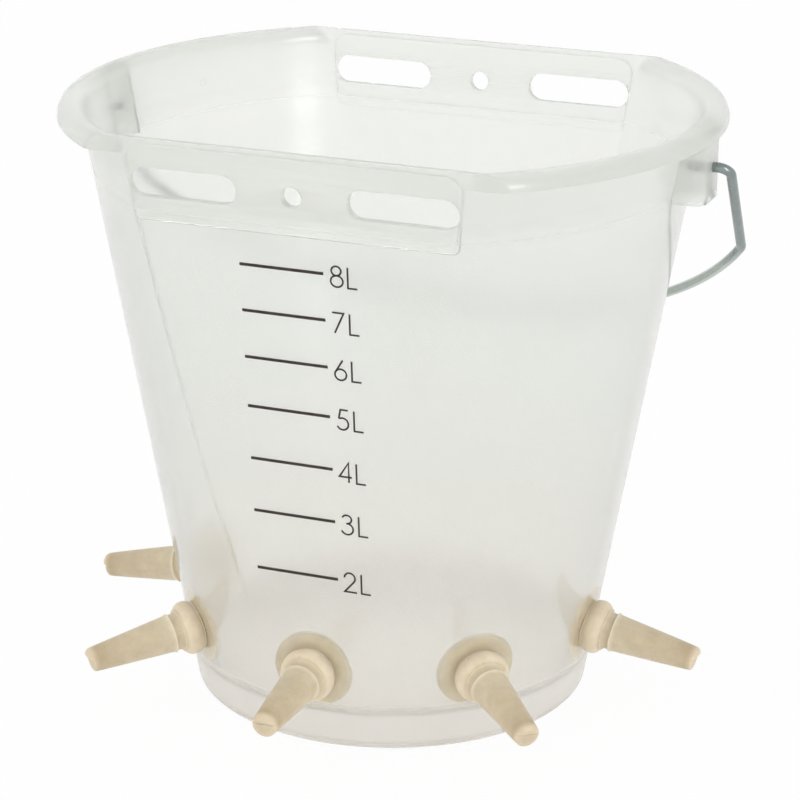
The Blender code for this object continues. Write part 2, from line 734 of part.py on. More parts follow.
def make_bail(finish):
    """The wire, hung on its pivot, at rest against the rear of the tub."""
    pivot = bpy.data.objects.new("bail_pivot", None)
    parts.objects.link(pivot)
    pivot.parent = tub_axis
    pivot.location = (0, 0, PIVOT_HEIGHT)
    pivot.rotation_euler = (REST_ANGLE, 0, 0)
    right = bail_half()
    left = [(-x, reach) for x, reach in reversed(right)]
    points = right + left[1:]
    curve = bpy.data.curves.new("bail_handle", "CURVE")
    curve.dimensions = "3D"
    curve.bevel_depth = WIRE_RADIUS
    curve.bevel_resolution = 3
    curve.use_fill_caps = True
    spline = curve.splines.new("POLY")
    spline.points.add(len(points) - 1)
    for point, (x, reach) in zip(spline.points, points):
        point.co = (x, 0, -reach, 1)
    curve.materials.append(finish)
    return add_object("bail_handle", curve, Matrix.Identity(4), parts, pivot)


milky_polypropylene = material("milky_polypropylene", (0.84, 0.83, 0.79), 0.35, transmission=0.3)
natural_rubber = material("natural_rubber", (0.74, 0.61, 0.42), 0.6)
galvanised_wire = material("galvanised_wire", (0.42, 0.46, 0.47), 0.38, metallic=0.9)

finish_part(make_bucket(), "bucket", milky_polypropylene)
make_teats(natural_rubber)
make_bail(galvanised_wire)

bpy.context.view_layer.update()
print("tub axis at y", round(TUB_AXIS_Y, 5))
print("bail rests at degrees from straight down", round(math.degrees(REST_ANGLE), 2))
print("bail swings through degrees", round(360 - 2 * math.degrees(REST_ANGLE), 2))
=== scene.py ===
# %% [markdown]
# A milk feeder for calves and lambs: a milky bucket with two flattened sides, a wire bail
# and five rubber teats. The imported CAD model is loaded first, as a fixed frame. Every piece
# that is made here is placed from it, so nothing has to be fitted by eye.

import json
from math import asin, atan, atan2, cos, degrees, dist, exp, hypot
from math import pi, radians, remainder, sin, sqrt, tan, tau

import bmesh
import bpy
import numpy as np
from mathutils import Matrix, Vector


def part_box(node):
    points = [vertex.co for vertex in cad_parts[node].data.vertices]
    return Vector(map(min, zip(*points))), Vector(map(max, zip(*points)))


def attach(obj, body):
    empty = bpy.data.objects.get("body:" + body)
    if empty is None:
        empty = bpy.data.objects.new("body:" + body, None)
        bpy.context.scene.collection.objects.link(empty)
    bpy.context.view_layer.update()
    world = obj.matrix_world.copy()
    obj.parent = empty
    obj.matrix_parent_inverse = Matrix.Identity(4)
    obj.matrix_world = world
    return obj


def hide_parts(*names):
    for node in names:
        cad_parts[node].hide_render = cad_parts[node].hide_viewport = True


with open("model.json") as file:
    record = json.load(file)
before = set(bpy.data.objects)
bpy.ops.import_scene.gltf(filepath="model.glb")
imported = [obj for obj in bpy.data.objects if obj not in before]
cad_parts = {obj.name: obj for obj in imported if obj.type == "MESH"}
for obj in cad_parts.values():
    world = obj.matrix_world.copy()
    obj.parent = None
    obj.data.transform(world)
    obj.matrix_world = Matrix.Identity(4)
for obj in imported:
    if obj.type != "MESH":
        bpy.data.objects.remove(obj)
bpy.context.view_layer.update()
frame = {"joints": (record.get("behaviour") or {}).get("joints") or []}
BUCKET_LOW, BUCKET_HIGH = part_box("bucket")
AXIS_Y = (BUCKET_LOW.y + BUCKET_HIGH.y) / 2
TUB_HEIGHT = BUCKET_HIGH.z
PIVOT = frame["joints"][0]["pos_m"]
print("tub axis", round(AXIS_Y, 5), "height", round(TUB_HEIGHT, 4), "pivot", PIVOT)

# %% [markdown]
# Colours are written as the hex values that a painter would pick. Blender's shaders want
# linear light, so one function converts each of them. The others add a node, empty a tree,
# put an object into the scene and make a mesh.


# %% Colours, nodes and objects
def linear(code):
    """An sRGB hex colour as linear red, green, blue and a full alpha."""
    channels = []
    for start in (1, 3, 5):
        value = int(code[start:start + 2], 16) / 255
        channels.append(value / 12.92 if value <= 0.04045 else ((value + 0.055) / 1.055) ** 2.4)
    return (*channels, 1.0)


def add_node(tree, kind, inputs=None, stops=(), **settings):
    """Add a node. An input is a value, an output, or a node that stands for its first output."""
    made = tree.nodes.new("ShaderNode" + kind)
    for name, value in settings.items():
        setattr(made, name, value)
    for name, value in (inputs or {}).items():
        if isinstance(value, bpy.types.Node):
            value = value.outputs[0]
        if isinstance(value, bpy.types.NodeSocket):
            tree.links.new(value, made.inputs[name])
        else:
            made.inputs[name].default_value = value
    if stops:
        ramp = made.color_ramp.elements
        while len(ramp) < len(stops):
            ramp.new(1.0)
        for stop, (position, code) in zip(ramp, stops):
            stop.position, stop.color = position, linear(code)
    return made


def empty_tree(owner):
    """The node tree of a world or a material, with nothing in it."""
    owner.use_nodes = True
    owner.node_tree.nodes.clear()
    return owner.node_tree


def put(data):
    """A new object in the scene, named as its data."""
    made = bpy.data.objects.new(data.name, data)
    bpy.context.scene.collection.objects.link(made)
    return made


def new_mesh(name, points, faces):
    """A mesh from its points and faces."""
    made = bpy.data.meshes.new(name)
    made.from_pydata(points, [], faces)
    return made


print("middle grey is", [round(v, 3) for v in linear("#808080")])

# %% [markdown]
# The photograph was taken from a little to the right of the front, looking down by about 19
# degrees, with a long lens. The values come from fitting the slots, the scale lines and the
# rim to their places in the picture. The focal length was found in pixels of an 800 pixel
# frame, and a 36 mm wide sensor turns that into a lens.

# %% Camera
AZIMUTH, ELEVATION, ROLL = radians(21.659), radians(19.372), radians(0.226)
DISTANCE, LOOK_HEIGHT, LOOK_RIGHT = 1.40698, 0.1359, 0.003472
FOCAL_PIXELS, FRAME_PIXELS, SENSOR = 3027.06, 800, 36

back = Vector((
    sin(AZIMUTH) * cos(ELEVATION), -cos(AZIMUTH) * cos(ELEVATION), sin(ELEVATION)))
level = Vector((cos(AZIMUTH), sin(AZIMUTH), 0))
steep = back.cross(level)
right = level * cos(ROLL) + steep * sin(ROLL)
up = steep * cos(ROLL) - level * sin(ROLL)
lens = bpy.data.cameras.new("photo_camera")
lens.sensor_width = SENSOR
lens.lens = FOCAL_PIXELS / FRAME_PIXELS * SENSOR
lens.clip_start, lens.clip_end = 0.05, 20
camera = put(lens)
turn = Matrix((right, up, back)).transposed().to_4x4()
turn.translation = Vector((0, AXIS_Y, LOOK_HEIGHT)) + level * LOOK_RIGHT + back * DISTANCE
camera.matrix_world = turn
bpy.context.scene.camera = camera
print("lens in mm", round(lens.lens, 1))

# %% [markdown]
# A product photograph on white is taken in a bright tent. All round and below it is white,
# which makes the plastic and the wire light, and overhead it gets darker. That dark ceiling is
# what draws the rim, the top of each teat and the streaks in the bends of the wire.

# %% World and view
scene = bpy.context.scene
scene.view_settings.view_transform = "Standard"
TENT_WHITE, CEILING_SHARE = "#FFFFFF", 0.80
world = bpy.data.worlds.new("studio_tent")
scene.world = world
tree = empty_tree(world)
way = add_node(tree, "TexCoord")
height = add_node(tree, "SeparateXYZ", {"Vector": way.outputs["Generated"]})
fade = add_node(tree, "MapRange", {
    "Value": height.outputs["Z"], "From Min": 0.30, "From Max": 0.85,
    "To Min": 1.0, "To Max": CEILING_SHARE}, interpolation_type="SMOOTHSTEP")
tent = add_node(tree, "Background", {"Color": linear(TENT_WHITE), "Strength": fade})
add_node(tree, "OutputWorld", {"Surface": tent})
print("world nodes", len(tree.nodes))

# %% [markdown]
# Two lamps shape the object. A wide soft box up on the left is the key. A narrow upright one
# on the right draws the pale column down the round part of the bucket, as in the picture.

# %% Lamps
MIDDLE = Vector((0, AXIS_Y, TUB_HEIGHT / 2))


def soft_box(name, place, size, watts):
    """A rectangular area lamp that looks at the middle of the bucket."""
    data = bpy.data.lights.new(name, "AREA")
    data.shape = "RECTANGLE"
    data.size, data.size_y = size
    data.energy = watts
    lamp = put(data)
    lamp.location = place
    lamp.rotation_euler = (MIDDLE - Vector(place)).to_track_quat("-Z", "Y").to_euler()


soft_box("key_box", (-1.1, -1.3, 1.9), (1.4, 1.4), watts=10)
soft_box("strip_box", (1.5, -0.9, 0.7), (0.35, 1.2), watts=6)

# %% [markdown]
# The floor is one pale sheet, lit from below as the table of a light tent is. The camera, a
# gloss and a clear material see most of it as plain white, and the rest takes the light of the
# lamps, which keeps a light shadow under the bucket.

# %% Floor
FLOOR_SIZE, FLOOR_BELOW = 12.0, 0.0002
FLOOR_GLOW, FLOOR_PLAIN_EXTRA = 0.82, 0.13
CORNERS = ((-1, -1), (1, -1), (1, 1), (-1, 1))
half = FLOOR_SIZE / 2
floor = put(new_mesh("studio_floor", [(x * half, y * half, 0) for x, y in CORNERS], [(0, 1, 2, 3)]))
floor.location.z = -FLOOR_BELOW
paper = bpy.data.materials.new("white_paper_floor")
tree = empty_tree(paper)
path = add_node(tree, "LightPath")
camera_or_gloss = add_node(tree, "Math", {
    0: path.outputs["Is Camera Ray"], 1: path.outputs["Is Glossy Ray"]}, operation="MAXIMUM")
seen = add_node(tree, "Math", {
    0: camera_or_gloss, 1: path.outputs["Is Transmission Ray"]}, operation="MAXIMUM")
share = add_node(tree, "Math", {
    0: seen, 1: FLOOR_PLAIN_EXTRA, 2: FLOOR_GLOW}, operation="MULTIPLY_ADD")
matt = add_node(tree, "BsdfDiffuse", {"Color": linear("#F2F2F0")})
glow = add_node(tree, "Emission", {"Color": linear("#FFFFFF"), "Strength": 1.0})
both = add_node(tree, "MixShader", {0: share, 1: matt, 2: glow})
add_node(tree, "OutputMaterial", {"Surface": both})
floor.data.materials.append(paper)
print("floor", FLOOR_SIZE, "m wide")

# %% [markdown]
# Materials come next, one for each real one. A pattern's scale in Blender is a number of
# repeats in a metre, so a helper turns a size in millimetres into it.


# %% Material helpers
def repeats(millimetres):
    """Pattern scale for features of a given size, on coordinates in metres."""
    return 1000 / millimetres


def new_material(name):
    """A material with its tree and object coordinates."""
    made = bpy.data.materials.new(name)
    tree = empty_tree(made)
    return made, tree, add_node(tree, "TexCoord").outputs["Object"]


print("a 1 mm pattern repeats", repeats(1), "times in a metre")

# %% [markdown]
# The bucket is natural polypropylene, injection moulded and left uncoloured. The resin is
# cloudy by itself: what lies against the wall shows through it, and what is a hand's width
# behind is only a shade. So most of the light that meets a face is refracted with some blur,
# and the rest is spread in all directions. That share is larger at the foot and from the bands
# up to the rim, where the plastic is thick. The body absorbs a little, most in the blue, which
# makes edges darker and warmer. The faces are glossy, with a faint ripple from the melt's flow.

# %% Milky polypropylene
polypropylene, tree, where = new_material("moulded_milky_polypropylene")
place = add_node(tree, "SeparateXYZ", {"Vector": where})
cloud = add_node(tree, "TexNoise", {
    "Vector": where, "Scale": repeats(55), "Detail": 3.0, "Roughness": 0.5})
low_down = add_node(tree, "MapRange", {
    "Value": place.outputs["Z"], "From Min": 0.0, "From Max": 0.16, "To Min": 0.0, "To Max": 0.6})
uneven = add_node(tree, "Math", {0: cloud, 1: 0.16}, operation="MULTIPLY")
level_of_tint = add_node(tree, "Math", {0: low_down, 1: uneven}, operation="ADD")
tint = add_node(tree, "ValToRGB", {"Fac": level_of_tint}, [
    (0.12, "#FEFBF7"), (0.19, "#FFFDFA"), (0.65, "#FEFFFD")])
haze = add_node(tree, "TexNoise", {"Vector": where, "Scale": repeats(14), "Detail": 2.0})
haze_range = add_node(tree, "MapRange", {"Value": haze, "To Min": 0.17, "To Max": 0.23})
ripple = add_node(tree, "TexNoise", {"Vector": where, "Scale": repeats(18), "Detail": 1.0})
flow = add_node(tree, "Bump", {"Height": ripple, "Strength": 0.25, "Distance": 0.0002})
shader = add_node(tree, "BsdfPrincipled", {
    "Base Color": tint, "Roughness": haze_range, "IOR": 1.49, "Transmission Weight": 0.90,
    "Coat Weight": 0.5, "Coat Roughness": 0.05, "Normal": flow})
milk = add_node(tree, "BsdfTranslucent", {"Color": tint})
MILK_FOOT, MILK_WALL, MILK_RIM = 0.40, 0.13, 0.34
thick_foot = add_node(tree, "MapRange", {
    "Value": place.outputs["Z"], "From Min": 0.018, "From Max": 0.025,
    "To Min": MILK_FOOT, "To Max": MILK_WALL}, interpolation_type="SMOOTHSTEP")
thick_rim = add_node(tree, "MapRange", {
    "Value": place.outputs["Z"], "From Min": 0.2443, "From Max": 0.2623,
    "To Min": MILK_WALL, "To Max": MILK_RIM}, interpolation_type="SMOOTHSTEP")
thick = add_node(tree, "Math", {0: thick_foot, 1: thick_rim}, operation="MAXIMUM")
cloudy = add_node(tree, "MixShader", {0: thick, 1: shader, 2: milk})
depth = add_node(tree, "VolumeAbsorption", {"Color": linear("#BCC26C"), "Density": 9.0})
add_node(tree, "OutputMaterial", {"Surface": cloudy, "Volume": depth})
print("polypropylene nodes", len(tree.nodes))

# %% [markdown]
# The teats are natural rubber, moulded and vulcanised. Rubber like this is a warm beige with
# a dry, faintly waxy surface, so it is rough, lets light some way in, and has small dark
# specks of filler. Along its length the colour changes: the flange behind the wall is painted
# paler as painted light, the valley of the neck is painted darker as painted shade, the bead is
# painted pale as a painted highlight, and the nozzle gets darker towards the tip, whose cut end
# is paler. The real grain is about 0.1 mm, too fine to show here, so it is drawn at 0.6 mm.
# Each teat's own place is added to the pattern's coordinates, so that no two teats are marked
# alike.

# %% Natural rubber
rubber, tree, where = new_material("vulcanised_natural_rubber")
own_place = add_node(tree, "ObjectInfo")
marks = add_node(tree, "VectorMath", {0: where, 1: own_place}, operation="ADD")
along = add_node(tree, "SeparateXYZ", {"Vector": where})
reach = add_node(tree, "MapRange", {
    "Value": along.outputs["Z"], "From Min": -0.004, "From Max": 0.054})
# Painted light along the teat: the flange is painted paler, the bead pale as a painted highlight,
# and the neck's valley darker as painted shade.
tone_and_painted_light_along = add_node(tree, "ValToRGB", {"Fac": reach}, [
    (0.05, "#F6ECD6"), (0.10, "#E2D6BF"), (0.20, "#E4D8C1"), (0.241, "#D9CCB3"),
    (0.279, "#D6CAB0"), (0.297, "#E5DAC5"), (0.336, "#D8CCB3"), (0.81, "#CDBFA5"),
    (0.92, "#C2B295"), (0.967, "#D6C9B1")])
blotch = add_node(tree, "TexNoise", {
    "Vector": marks, "Scale": repeats(7), "Detail": 4.0, "Roughness": 0.6})
tone = add_node(tree, "ValToRGB", {"Fac": blotch}, [(0.30, "#EAE6DF"), (0.70, "#FFFEFC")])
mottled = add_node(tree, "Mix", {
    "Factor": 0.8, 6: tone_and_painted_light_along, 7: tone}, data_type="RGBA", blend_type="MULTIPLY")
specks = add_node(tree, "TexVoronoi", {"Vector": marks, "Scale": repeats(3.0)})
speck_mask = add_node(tree, "MapRange", {
    "Value": specks, "From Min": 0.045, "From Max": 0.075, "To Min": 0.8, "To Max": 0.0})
speckled = add_node(tree, "Mix", {
    "Factor": speck_mask, 6: mottled.outputs[2], 7: linear("#86714F")}, data_type="RGBA")
grain = add_node(tree, "TexNoise", {
    "Vector": marks, "Scale": repeats(0.6), "Detail": 3.0, "Roughness": 0.65})
dry = add_node(tree, "MapRange", {"Value": blotch, "To Min": 0.46, "To Max": 0.62})
surface = add_node(tree, "Bump", {"Height": grain, "Strength": 0.5, "Distance": 0.00014})
shader = add_node(tree, "BsdfPrincipled", {
    "Base Color": speckled.outputs[2], "Roughness": dry, "IOR": 1.52,
    "Subsurface Weight": 0.8, "Subsurface Radius": (1.0, 0.8, 0.6), "Subsurface Scale": 0.004,
    "Specular IOR Level": 0.4, "Normal": surface})
add_node(tree, "OutputMaterial", {"Surface": shader})
print("rubber nodes", len(tree.nodes))

# %% [markdown]
# The bail is drawn steel wire, hot dipped or plated with zinc. Zinc is a bluish grey metal
# whose thin coat breaks into spangles, so both its tone and its gloss change in patches of
# 2 to 4 mm. The low middle of the bail is painted lighter and the arms above it darker, as
# painted light and painted shade. The metal keeps the default index of refraction.

# %% Zinc coated steel
zinc, tree, where = new_material("zinc_coated_steel_wire")
spangle = add_node(tree, "TexVoronoi", {"Vector": where, "Scale": repeats(2.6)})
height = add_node(tree, "SeparateXYZ", {"Vector": where})
# Painted shade: the arms above the low middle of the bail are painted darker, and the middle
# lighter.
arm_painted_shade = add_node(tree, "MapRange", {
    "Value": height.outputs["Z"], "From Min": 0.198, "From Max": 0.216,
    "To Min": 0.0, "To Max": 0.8})
spangle_and_painted_shade = add_node(tree, "Math", {
    0: spangle.outputs["Color"], 1: 0.2, 2: arm_painted_shade}, operation="MULTIPLY_ADD")
grey = add_node(tree, "ValToRGB", {"Fac": spangle_and_painted_shade}, [(0.1, "#BFC7C2"), (0.9, "#8A9392")])
patch = add_node(tree, "TexNoise", {"Vector": where, "Scale": repeats(4), "Detail": 3.0})
dull = add_node(tree, "MapRange", {"Value": patch, "To Min": 0.20, "To Max": 0.30})
drawn = add_node(tree, "TexNoise", {"Vector": where, "Scale": repeats(0.9), "Detail": 2.0})
scratch = add_node(tree, "Bump", {"Height": drawn, "Strength": 0.08, "Distance": 0.0001})
shader = add_node(tree, "BsdfPrincipled", {
    "Base Color": grey, "Metallic": 1.0, "Roughness": dull, "Normal": scratch})
add_node(tree, "OutputMaterial", {"Surface": shader})
print("zinc nodes", len(tree.nodes))

# %% [markdown]
# The litre scale is printed with a soft pad and a brownish black ink. A pad lays down a thin,
# slightly uneven film, so the tone varies a little within each stroke.

# %% Printing ink
ink, tree, where = new_material("pad_printed_dark_ink")
film = add_node(tree, "TexNoise", {"Vector": where, "Scale": repeats(1.5), "Detail": 3.0})
shade = add_node(tree, "ValToRGB", {"Fac": film}, [(0.35, "#2A211E"), (0.75, "#453A35")])
shader = add_node(tree, "BsdfPrincipled", {
    "Base Color": shade, "Roughness": 0.5, "Specular IOR Level": 0.3})
add_node(tree, "OutputMaterial", {"Surface": shader})
print("ink nodes", len(tree.nodes))

# %% [markdown]
# The bucket starts as one closed shell. Bands and ears are added to it, and the holes are cut
# out. Round forms come from turning a profile, and flat ones from an outline. Each is a mesh
# with many fine steps, and Boolean modifiers cut and join them. The sizes repeat those of the
# CAD solid, in metres.

# %% Sizes of the bucket
BASE_RADIUS, TOP_RADIUS = 0.0914, 0.1409
FLAT_AT_BASE, FLAT_AT_TOP = 0.0936, 0.1162
WALL = 0.0020
FLOOR_HEIGHT, FLOOR_THICKNESS, FLOOR_CORNER = 0.0208, 0.0022, 0.0015
FOOT_ROUNDING, FOOT_LAND, FOOT_LIP_HEIGHT, FOOT_EDGE = 0.0045, 0.0025, 0.0015, 0.0003
RIM_HALF_WIDTH, RIM_SKIRT, RIM_WALL, RIM_LEDGE = 0.0063, 0.0013, 0.0021, 0.0002
SKIRT_EDGE, SKIRT_FILLET, CHANNEL_BELOW = 0.0005, 0.0008, 0.002
RIM_LAND_ANGLE, CROWN_STEP = radians(75), 0.06
CONE_SLOPE = (TOP_RADIUS - BASE_RADIUS) / TUB_HEIGHT
FLAT_SLOPE = (FLAT_AT_TOP - FLAT_AT_BASE) / TUB_HEIGHT
CONE_LEAN, FLAT_LEAN = atan(CONE_SLOPE), atan(FLAT_SLOPE)
RIM_ARCH_HEIGHT = TUB_HEIGHT - RIM_HALF_WIDTH
SKIRT_BOTTOM = RIM_ARCH_HEIGHT - RIM_SKIRT
AXIS = Matrix.Translation((0, AXIS_Y, 0))
ROUND_STEPS = 256
SHARES = (0.12, 0.25, 0.4, 0.55, 0.7, 0.85)


def tub_radius(height, offset=0.0):
    """Radius of the cone at a height, moved out square to the wall."""
    return BASE_RADIUS + CONE_SLOPE * height + offset / cos(CONE_LEAN)


def flat_distance(height, offset=0.0):
    """Distance of a flat from the axis at a height, moved out square to the flat."""
    return FLAT_AT_BASE + FLAT_SLOPE * height + offset / cos(FLAT_LEAN)


def half_chord(height):
    """Half the width of a flat at a height."""
    return sqrt(tub_radius(height) ** 2 - flat_distance(height) ** 2)


print("flat is", round(2000 * half_chord(TUB_HEIGHT)), "mm wide at the top")

# %% [markdown]
# Three small tools build the forms. `skin` covers rows of points with faces, `turned` spins a
# profile round an upright axis, and `plate` gives an outline a thickness. What they make for
# the bucket is kept in a list, and removed once the finished mesh has been read.

# %% Forming tools
tools = []


def tool(mesh, matrix=AXIS):
    """A mesh in the scene that other forms are cut with or joined to."""
    made = put(mesh)
    made.matrix_world = matrix
    tools.append(made)
    return made


def skin(name, rows, closed=False, capped=False):
    """A mesh over rows of points. A row of one point is a pole."""
    points, starts, faces = [], [], []
    for row in rows:
        starts.append(len(points))
        points += row
    width = max(len(row) for row in rows)
    for index in range(len(rows) if closed else len(rows) - 1):
        after = (index + 1) % len(rows)
        a, b = starts[index], starts[after]
        for step in range(width):
            beyond = (step + 1) % width
            if len(rows[index]) == 1:
                faces.append((a, b + beyond, b + step))
            elif len(rows[after]) == 1:
                faces.append((a + step, a + beyond, b))
            else:
                faces.append((a + step, a + beyond, b + beyond, b + step))
    if capped:
        faces.append(tuple(range(width - 1, -1, -1)))
        faces.append(tuple(range(len(points) - width, len(points))))
    return new_mesh(name, points, faces)


def written(body, mesh):
    """Turn all faces of a bmesh outward and write it into a mesh."""
    bmesh.ops.recalc_face_normals(body, faces=body.faces)
    body.to_mesh(mesh)
    body.free()
    return mesh


def circle(radius, steps, turn=0.0):
    """Points (x, y) round a circle, or the one point in its middle."""
    angles = [tau * (step + turn) / steps for step in range(steps if radius else 1)]
    return [(radius * cos(angle), radius * sin(angle)) for angle in angles]


def turned(name, profile, steps=ROUND_STEPS, matrix=AXIS, ring=False, phase=0.0):
    """Spin a profile of (radius, height) pairs. A ring's profile closes on itself."""
    rows = [[(x, y, height) for x, y in circle(radius, steps, phase)] for radius, height in profile]
    mesh = skin(name, rows, closed=ring)
    body = bmesh.new()
    body.from_mesh(mesh)
    return tool(written(body, mesh), matrix)


def plate(name, outline, thickness, matrix):
    """A flat outline in the matrix's XY plane, thick equally to both sides."""
    body = bmesh.new()
    face = body.faces.new([body.verts.new((x, y, -thickness / 2)) for x, y in outline])
    grown = bmesh.ops.extrude_face_region(body, geom=[face])
    moved = [item for item in grown["geom"] if isinstance(item, bmesh.types.BMVert)]
    bmesh.ops.translate(body, verts=moved, vec=(0, 0, thickness))
    return tool(written(body, bpy.data.meshes.new(name)), matrix)


print("a turned form has", ROUND_STEPS, "steps in its round")

# %% [markdown]
# A moulding has soft edges and many holes. `soften` adds a Bevel modifier and `combine` a
# Boolean one. Modifiers wait in a stack, so the forms stay simple until they are all worked
# out together.

# %% Soft edges and Booleans
BEVEL_ANGLE, BEVEL_SEGMENTS = radians(60), 4


def soften(item, width):
    """Round a form's edges."""
    soft = item.modifiers.new("soft_edge", "BEVEL")
    soft.width, soft.segments = width, BEVEL_SEGMENTS
    soft.limit_method, soft.angle_limit = "ANGLE", BEVEL_ANGLE
    return item


def combine(item, other, operation="DIFFERENCE"):
    """Cut one form with another, join the two, or keep what they share."""
    boolean = item.modifiers.new(operation.lower(), "BOOLEAN")
    boolean.operation, boolean.solver, boolean.object = operation, "MANIFOLD", other
    return item


print("edges over", round(degrees(BEVEL_ANGLE)), "degrees are softened")

# %% [markdown]
# Outlines are lists of points. `arc` gives a stretch of a circle or an ellipse, and `rounded`
# joins straight lines with arcs that touch both, as in a technical drawing.


# %% Outlines
def arc(centre, radius, start, end, steps=8):
    """Points on an arc, both ends included. The radius may be a pair for an ellipse."""
    wide, tall = radius if isinstance(radius, tuple) else (radius, radius)
    angles = [start + (end - start) * step / steps for step in range(steps + 1)]
    return [(centre[0] + wide * cos(angle), centre[1] + tall * sin(angle))
            for angle in angles]


def rounded(corners, steps=8):
    """A run of straight lines whose corners are arcs, from (point, radius) pairs."""
    points = []
    for index, (corner, radius) in enumerate(corners):
        here = Vector(corner)
        if radius == 0:
            points.append(tuple(here))
            continue
        before = (Vector(corners[index - 1][0]) - here).normalized()
        after = (Vector(corners[(index + 1) % len(corners)][0]) - here).normalized()
        half_angle = before.angle(after) / 2
        centre = here + (before + after).normalized() * radius / sin(half_angle)
        first = here + before * radius / tan(half_angle) - centre
        last = here + after * radius / tan(half_angle) - centre
        whole = first.angle(last)
        for step in range(steps + 1):
            share = step / steps
            points.append(tuple(centre + (
                first * sin((1 - share) * whole) + last * sin(share * whole)
            ) / sin(whole)))
    return points


print("a quarter turn", [(round(x, 2), round(y, 2)) for x, y in arc((0, 0), 1, 0, pi / 2, steps=2)])

# %% [markdown]
# Bands, holes and figures lie on leaning faces. A matrix holds a place and three directions,
# so each form is made flat first, and one matrix puts it on its face.


# %% Places on the wall
def frame_on(point, outward, along):
    """A matrix with Z along the outward normal and X near the given direction."""
    z_axis = Vector(outward).normalized()
    y_axis = z_axis.cross(Vector(along)).normalized()
    made = Matrix((y_axis.cross(z_axis), y_axis, z_axis)).transposed().to_4x4()
    made.translation = Vector(point)
    return made


def flat_frame(side, height):
    """On the middle line of a flat's outer face: X level, Y up the face, Z outward."""
    point = (0, AXIS_Y + side * flat_distance(height), height)
    return frame_on(point, (0, side, -FLAT_SLOPE), (-side, 0, 0))


print("front flat at the brim", [round(v, 4) for v in flat_frame(-1, TUB_HEIGHT).translation])

# %% [markdown]
# The wall is a cone that runs into two leaning flats, and a moulder never leaves a knife edge
# between them. The shell is therefore a stack of rings whose columns follow the corners: many
# on the round ends, a few close ones over each soft corner, and some on the flats. One list of
# levels runs from the underside over the foot, the wall and the rim and down the inside to the
# floor, so the shell is closed from the start.

# %% Rings that follow the corners
CORNER_BLEND, LEAST_BLEND = 0.0014, 0.00001
ROUND_COLUMNS, FLAT_COLUMNS = 42, 14
WIDEST_CORNER, NEAR_ANGLE, FAR_AWAY = radians(82), 0.3, 4


def ring(height, offset=0.0, grown=0.0, inset=0.0):
    """Points of one level. `grown` widens only the round ends, and `inset` shrinks it all."""
    cone = tub_radius(height, offset) + grown - inset
    flat = flat_distance(height, offset) - inset
    corner = asin(min(flat / cone, 1.0))
    depth = min(max((cone - flat) / (TOP_RADIUS - FLAT_AT_TOP), 0.0), 1.0)
    blend = CORNER_BLEND * depth + LEAST_BLEND
    corner = min(corner, WIDEST_CORNER)
    spread = blend / (cone * tan(pi / 2 - corner))
    angles = list(np.linspace(0, corner - spread, ROUND_COLUMNS))
    angles += [corner + spread * part for part in (-0.6, -0.3, 0.0, 0.3, 0.6)]
    angles += list(np.linspace(corner + spread, pi / 2, FLAT_COLUMNS))
    quarter = []
    for angle in angles:
        # Up to NEAR_ANGLE the line of the flat lies far outside the cone, and never counts.
        straight = flat / sin(angle) if angle > NEAR_ANGLE else cone * FAR_AWAY
        share = min(max(0.5 + 0.5 * (straight - cone) / blend, 0), 1)
        radius = straight + (cone - straight) * share - blend * share * (1 - share)
        quarter.append((radius * cos(angle), radius * sin(angle), height))
    other = [(-x, y, z) for x, y, z in reversed(quarter[:-1])]
    front = [(x, -y, z) for x, y, z in reversed((quarter + other)[1:-1])]
    return quarter + other + front


def shell(name, levels, bottom, top):
    """Stack rings into a closed form, with a fan to a middle point at each end."""
    rows = [ring(*level) for level in levels]
    return tool(skin(name, [[(0, 0, bottom)], *rows, [(0, 0, top)]]))


print("columns in a ring", len(ring(TUB_HEIGHT)))

# %% [markdown]
# The rim is rolled outward in an arch. Its inner half starts on the inner wall and its outer
# half ends in a short skirt, and the arch is only made on the round ends: on the flats the
# same levels lie in the plane of the flat, which gives the brim its plain straight edge.

# %% Levels of the shell
RIM_INNER = tub_radius(RIM_ARCH_HEIGHT, -WALL)
RIM_CENTRE = RIM_INNER + RIM_HALF_WIDTH
RIM_OUTER = RIM_CENTRE + RIM_HALF_WIDTH
FLOOR_UNDERSIDE, CORNER_STEPS = FLOOR_HEIGHT - FLOOR_THICKNESS, 5


def underside_levels():
    """From the middle of the recess under the floor to the foot's rounding."""
    land = tub_radius(FOOT_ROUNDING) - FOOT_ROUNDING
    lip = land - FOOT_LAND
    levels = [(FLOOR_UNDERSIDE - FLOOR_CORNER * down, -WALL, 0, FLOOR_CORNER * inward)
              for down, inward in ((0, 1), (0.3, 0.3), (1, 0))]
    return levels + [(FOOT_ROUNDING, -WALL, 0, 0),
                     (FOOT_LIP_HEIGHT, 0, 0, tub_radius(FOOT_LIP_HEIGHT) - lip),
                     (FOOT_EDGE, 0, 0, tub_radius(0) - lip),
                     (0, 0, 0, tub_radius(0) - lip - FOOT_EDGE),
                     (0, 0, 0, tub_radius(0) - land)]


def outer_levels():
    """From the foot's rounding up the wall, round the skirt and over the arch to its crown."""
    levels = [(height, 0, 0, FOOT_ROUNDING - across) for across, height in arc(
        (0, FOOT_ROUNDING), FOOT_ROUNDING, -pi / 2, 0)[1:]]
    wall = SKIRT_BOTTOM - FOOT_ROUNDING
    levels += [(FOOT_ROUNDING + wall * share, 0, 0, 0) for share in SHARES]
    outer = RIM_OUTER - tub_radius(SKIRT_BOTTOM)
    levels += [(SKIRT_BOTTOM + up, 0, out, 0) for up, out in (
        (-SKIRT_FILLET, 0), (-SKIRT_FILLET / 4, SKIRT_FILLET / 4), (0, SKIRT_FILLET),
        (0, outer - SKIRT_EDGE), (SKIRT_EDGE * 0.3, outer - SKIRT_EDGE * 0.3), (SKIRT_EDGE, outer))]
    return levels + [(height, 0, radius - tub_radius(height), 0) for radius, height in arc(
        (RIM_CENTRE, RIM_ARCH_HEIGHT), RIM_HALF_WIDTH, 0, RIM_LAND_ANGLE, steps=14)]


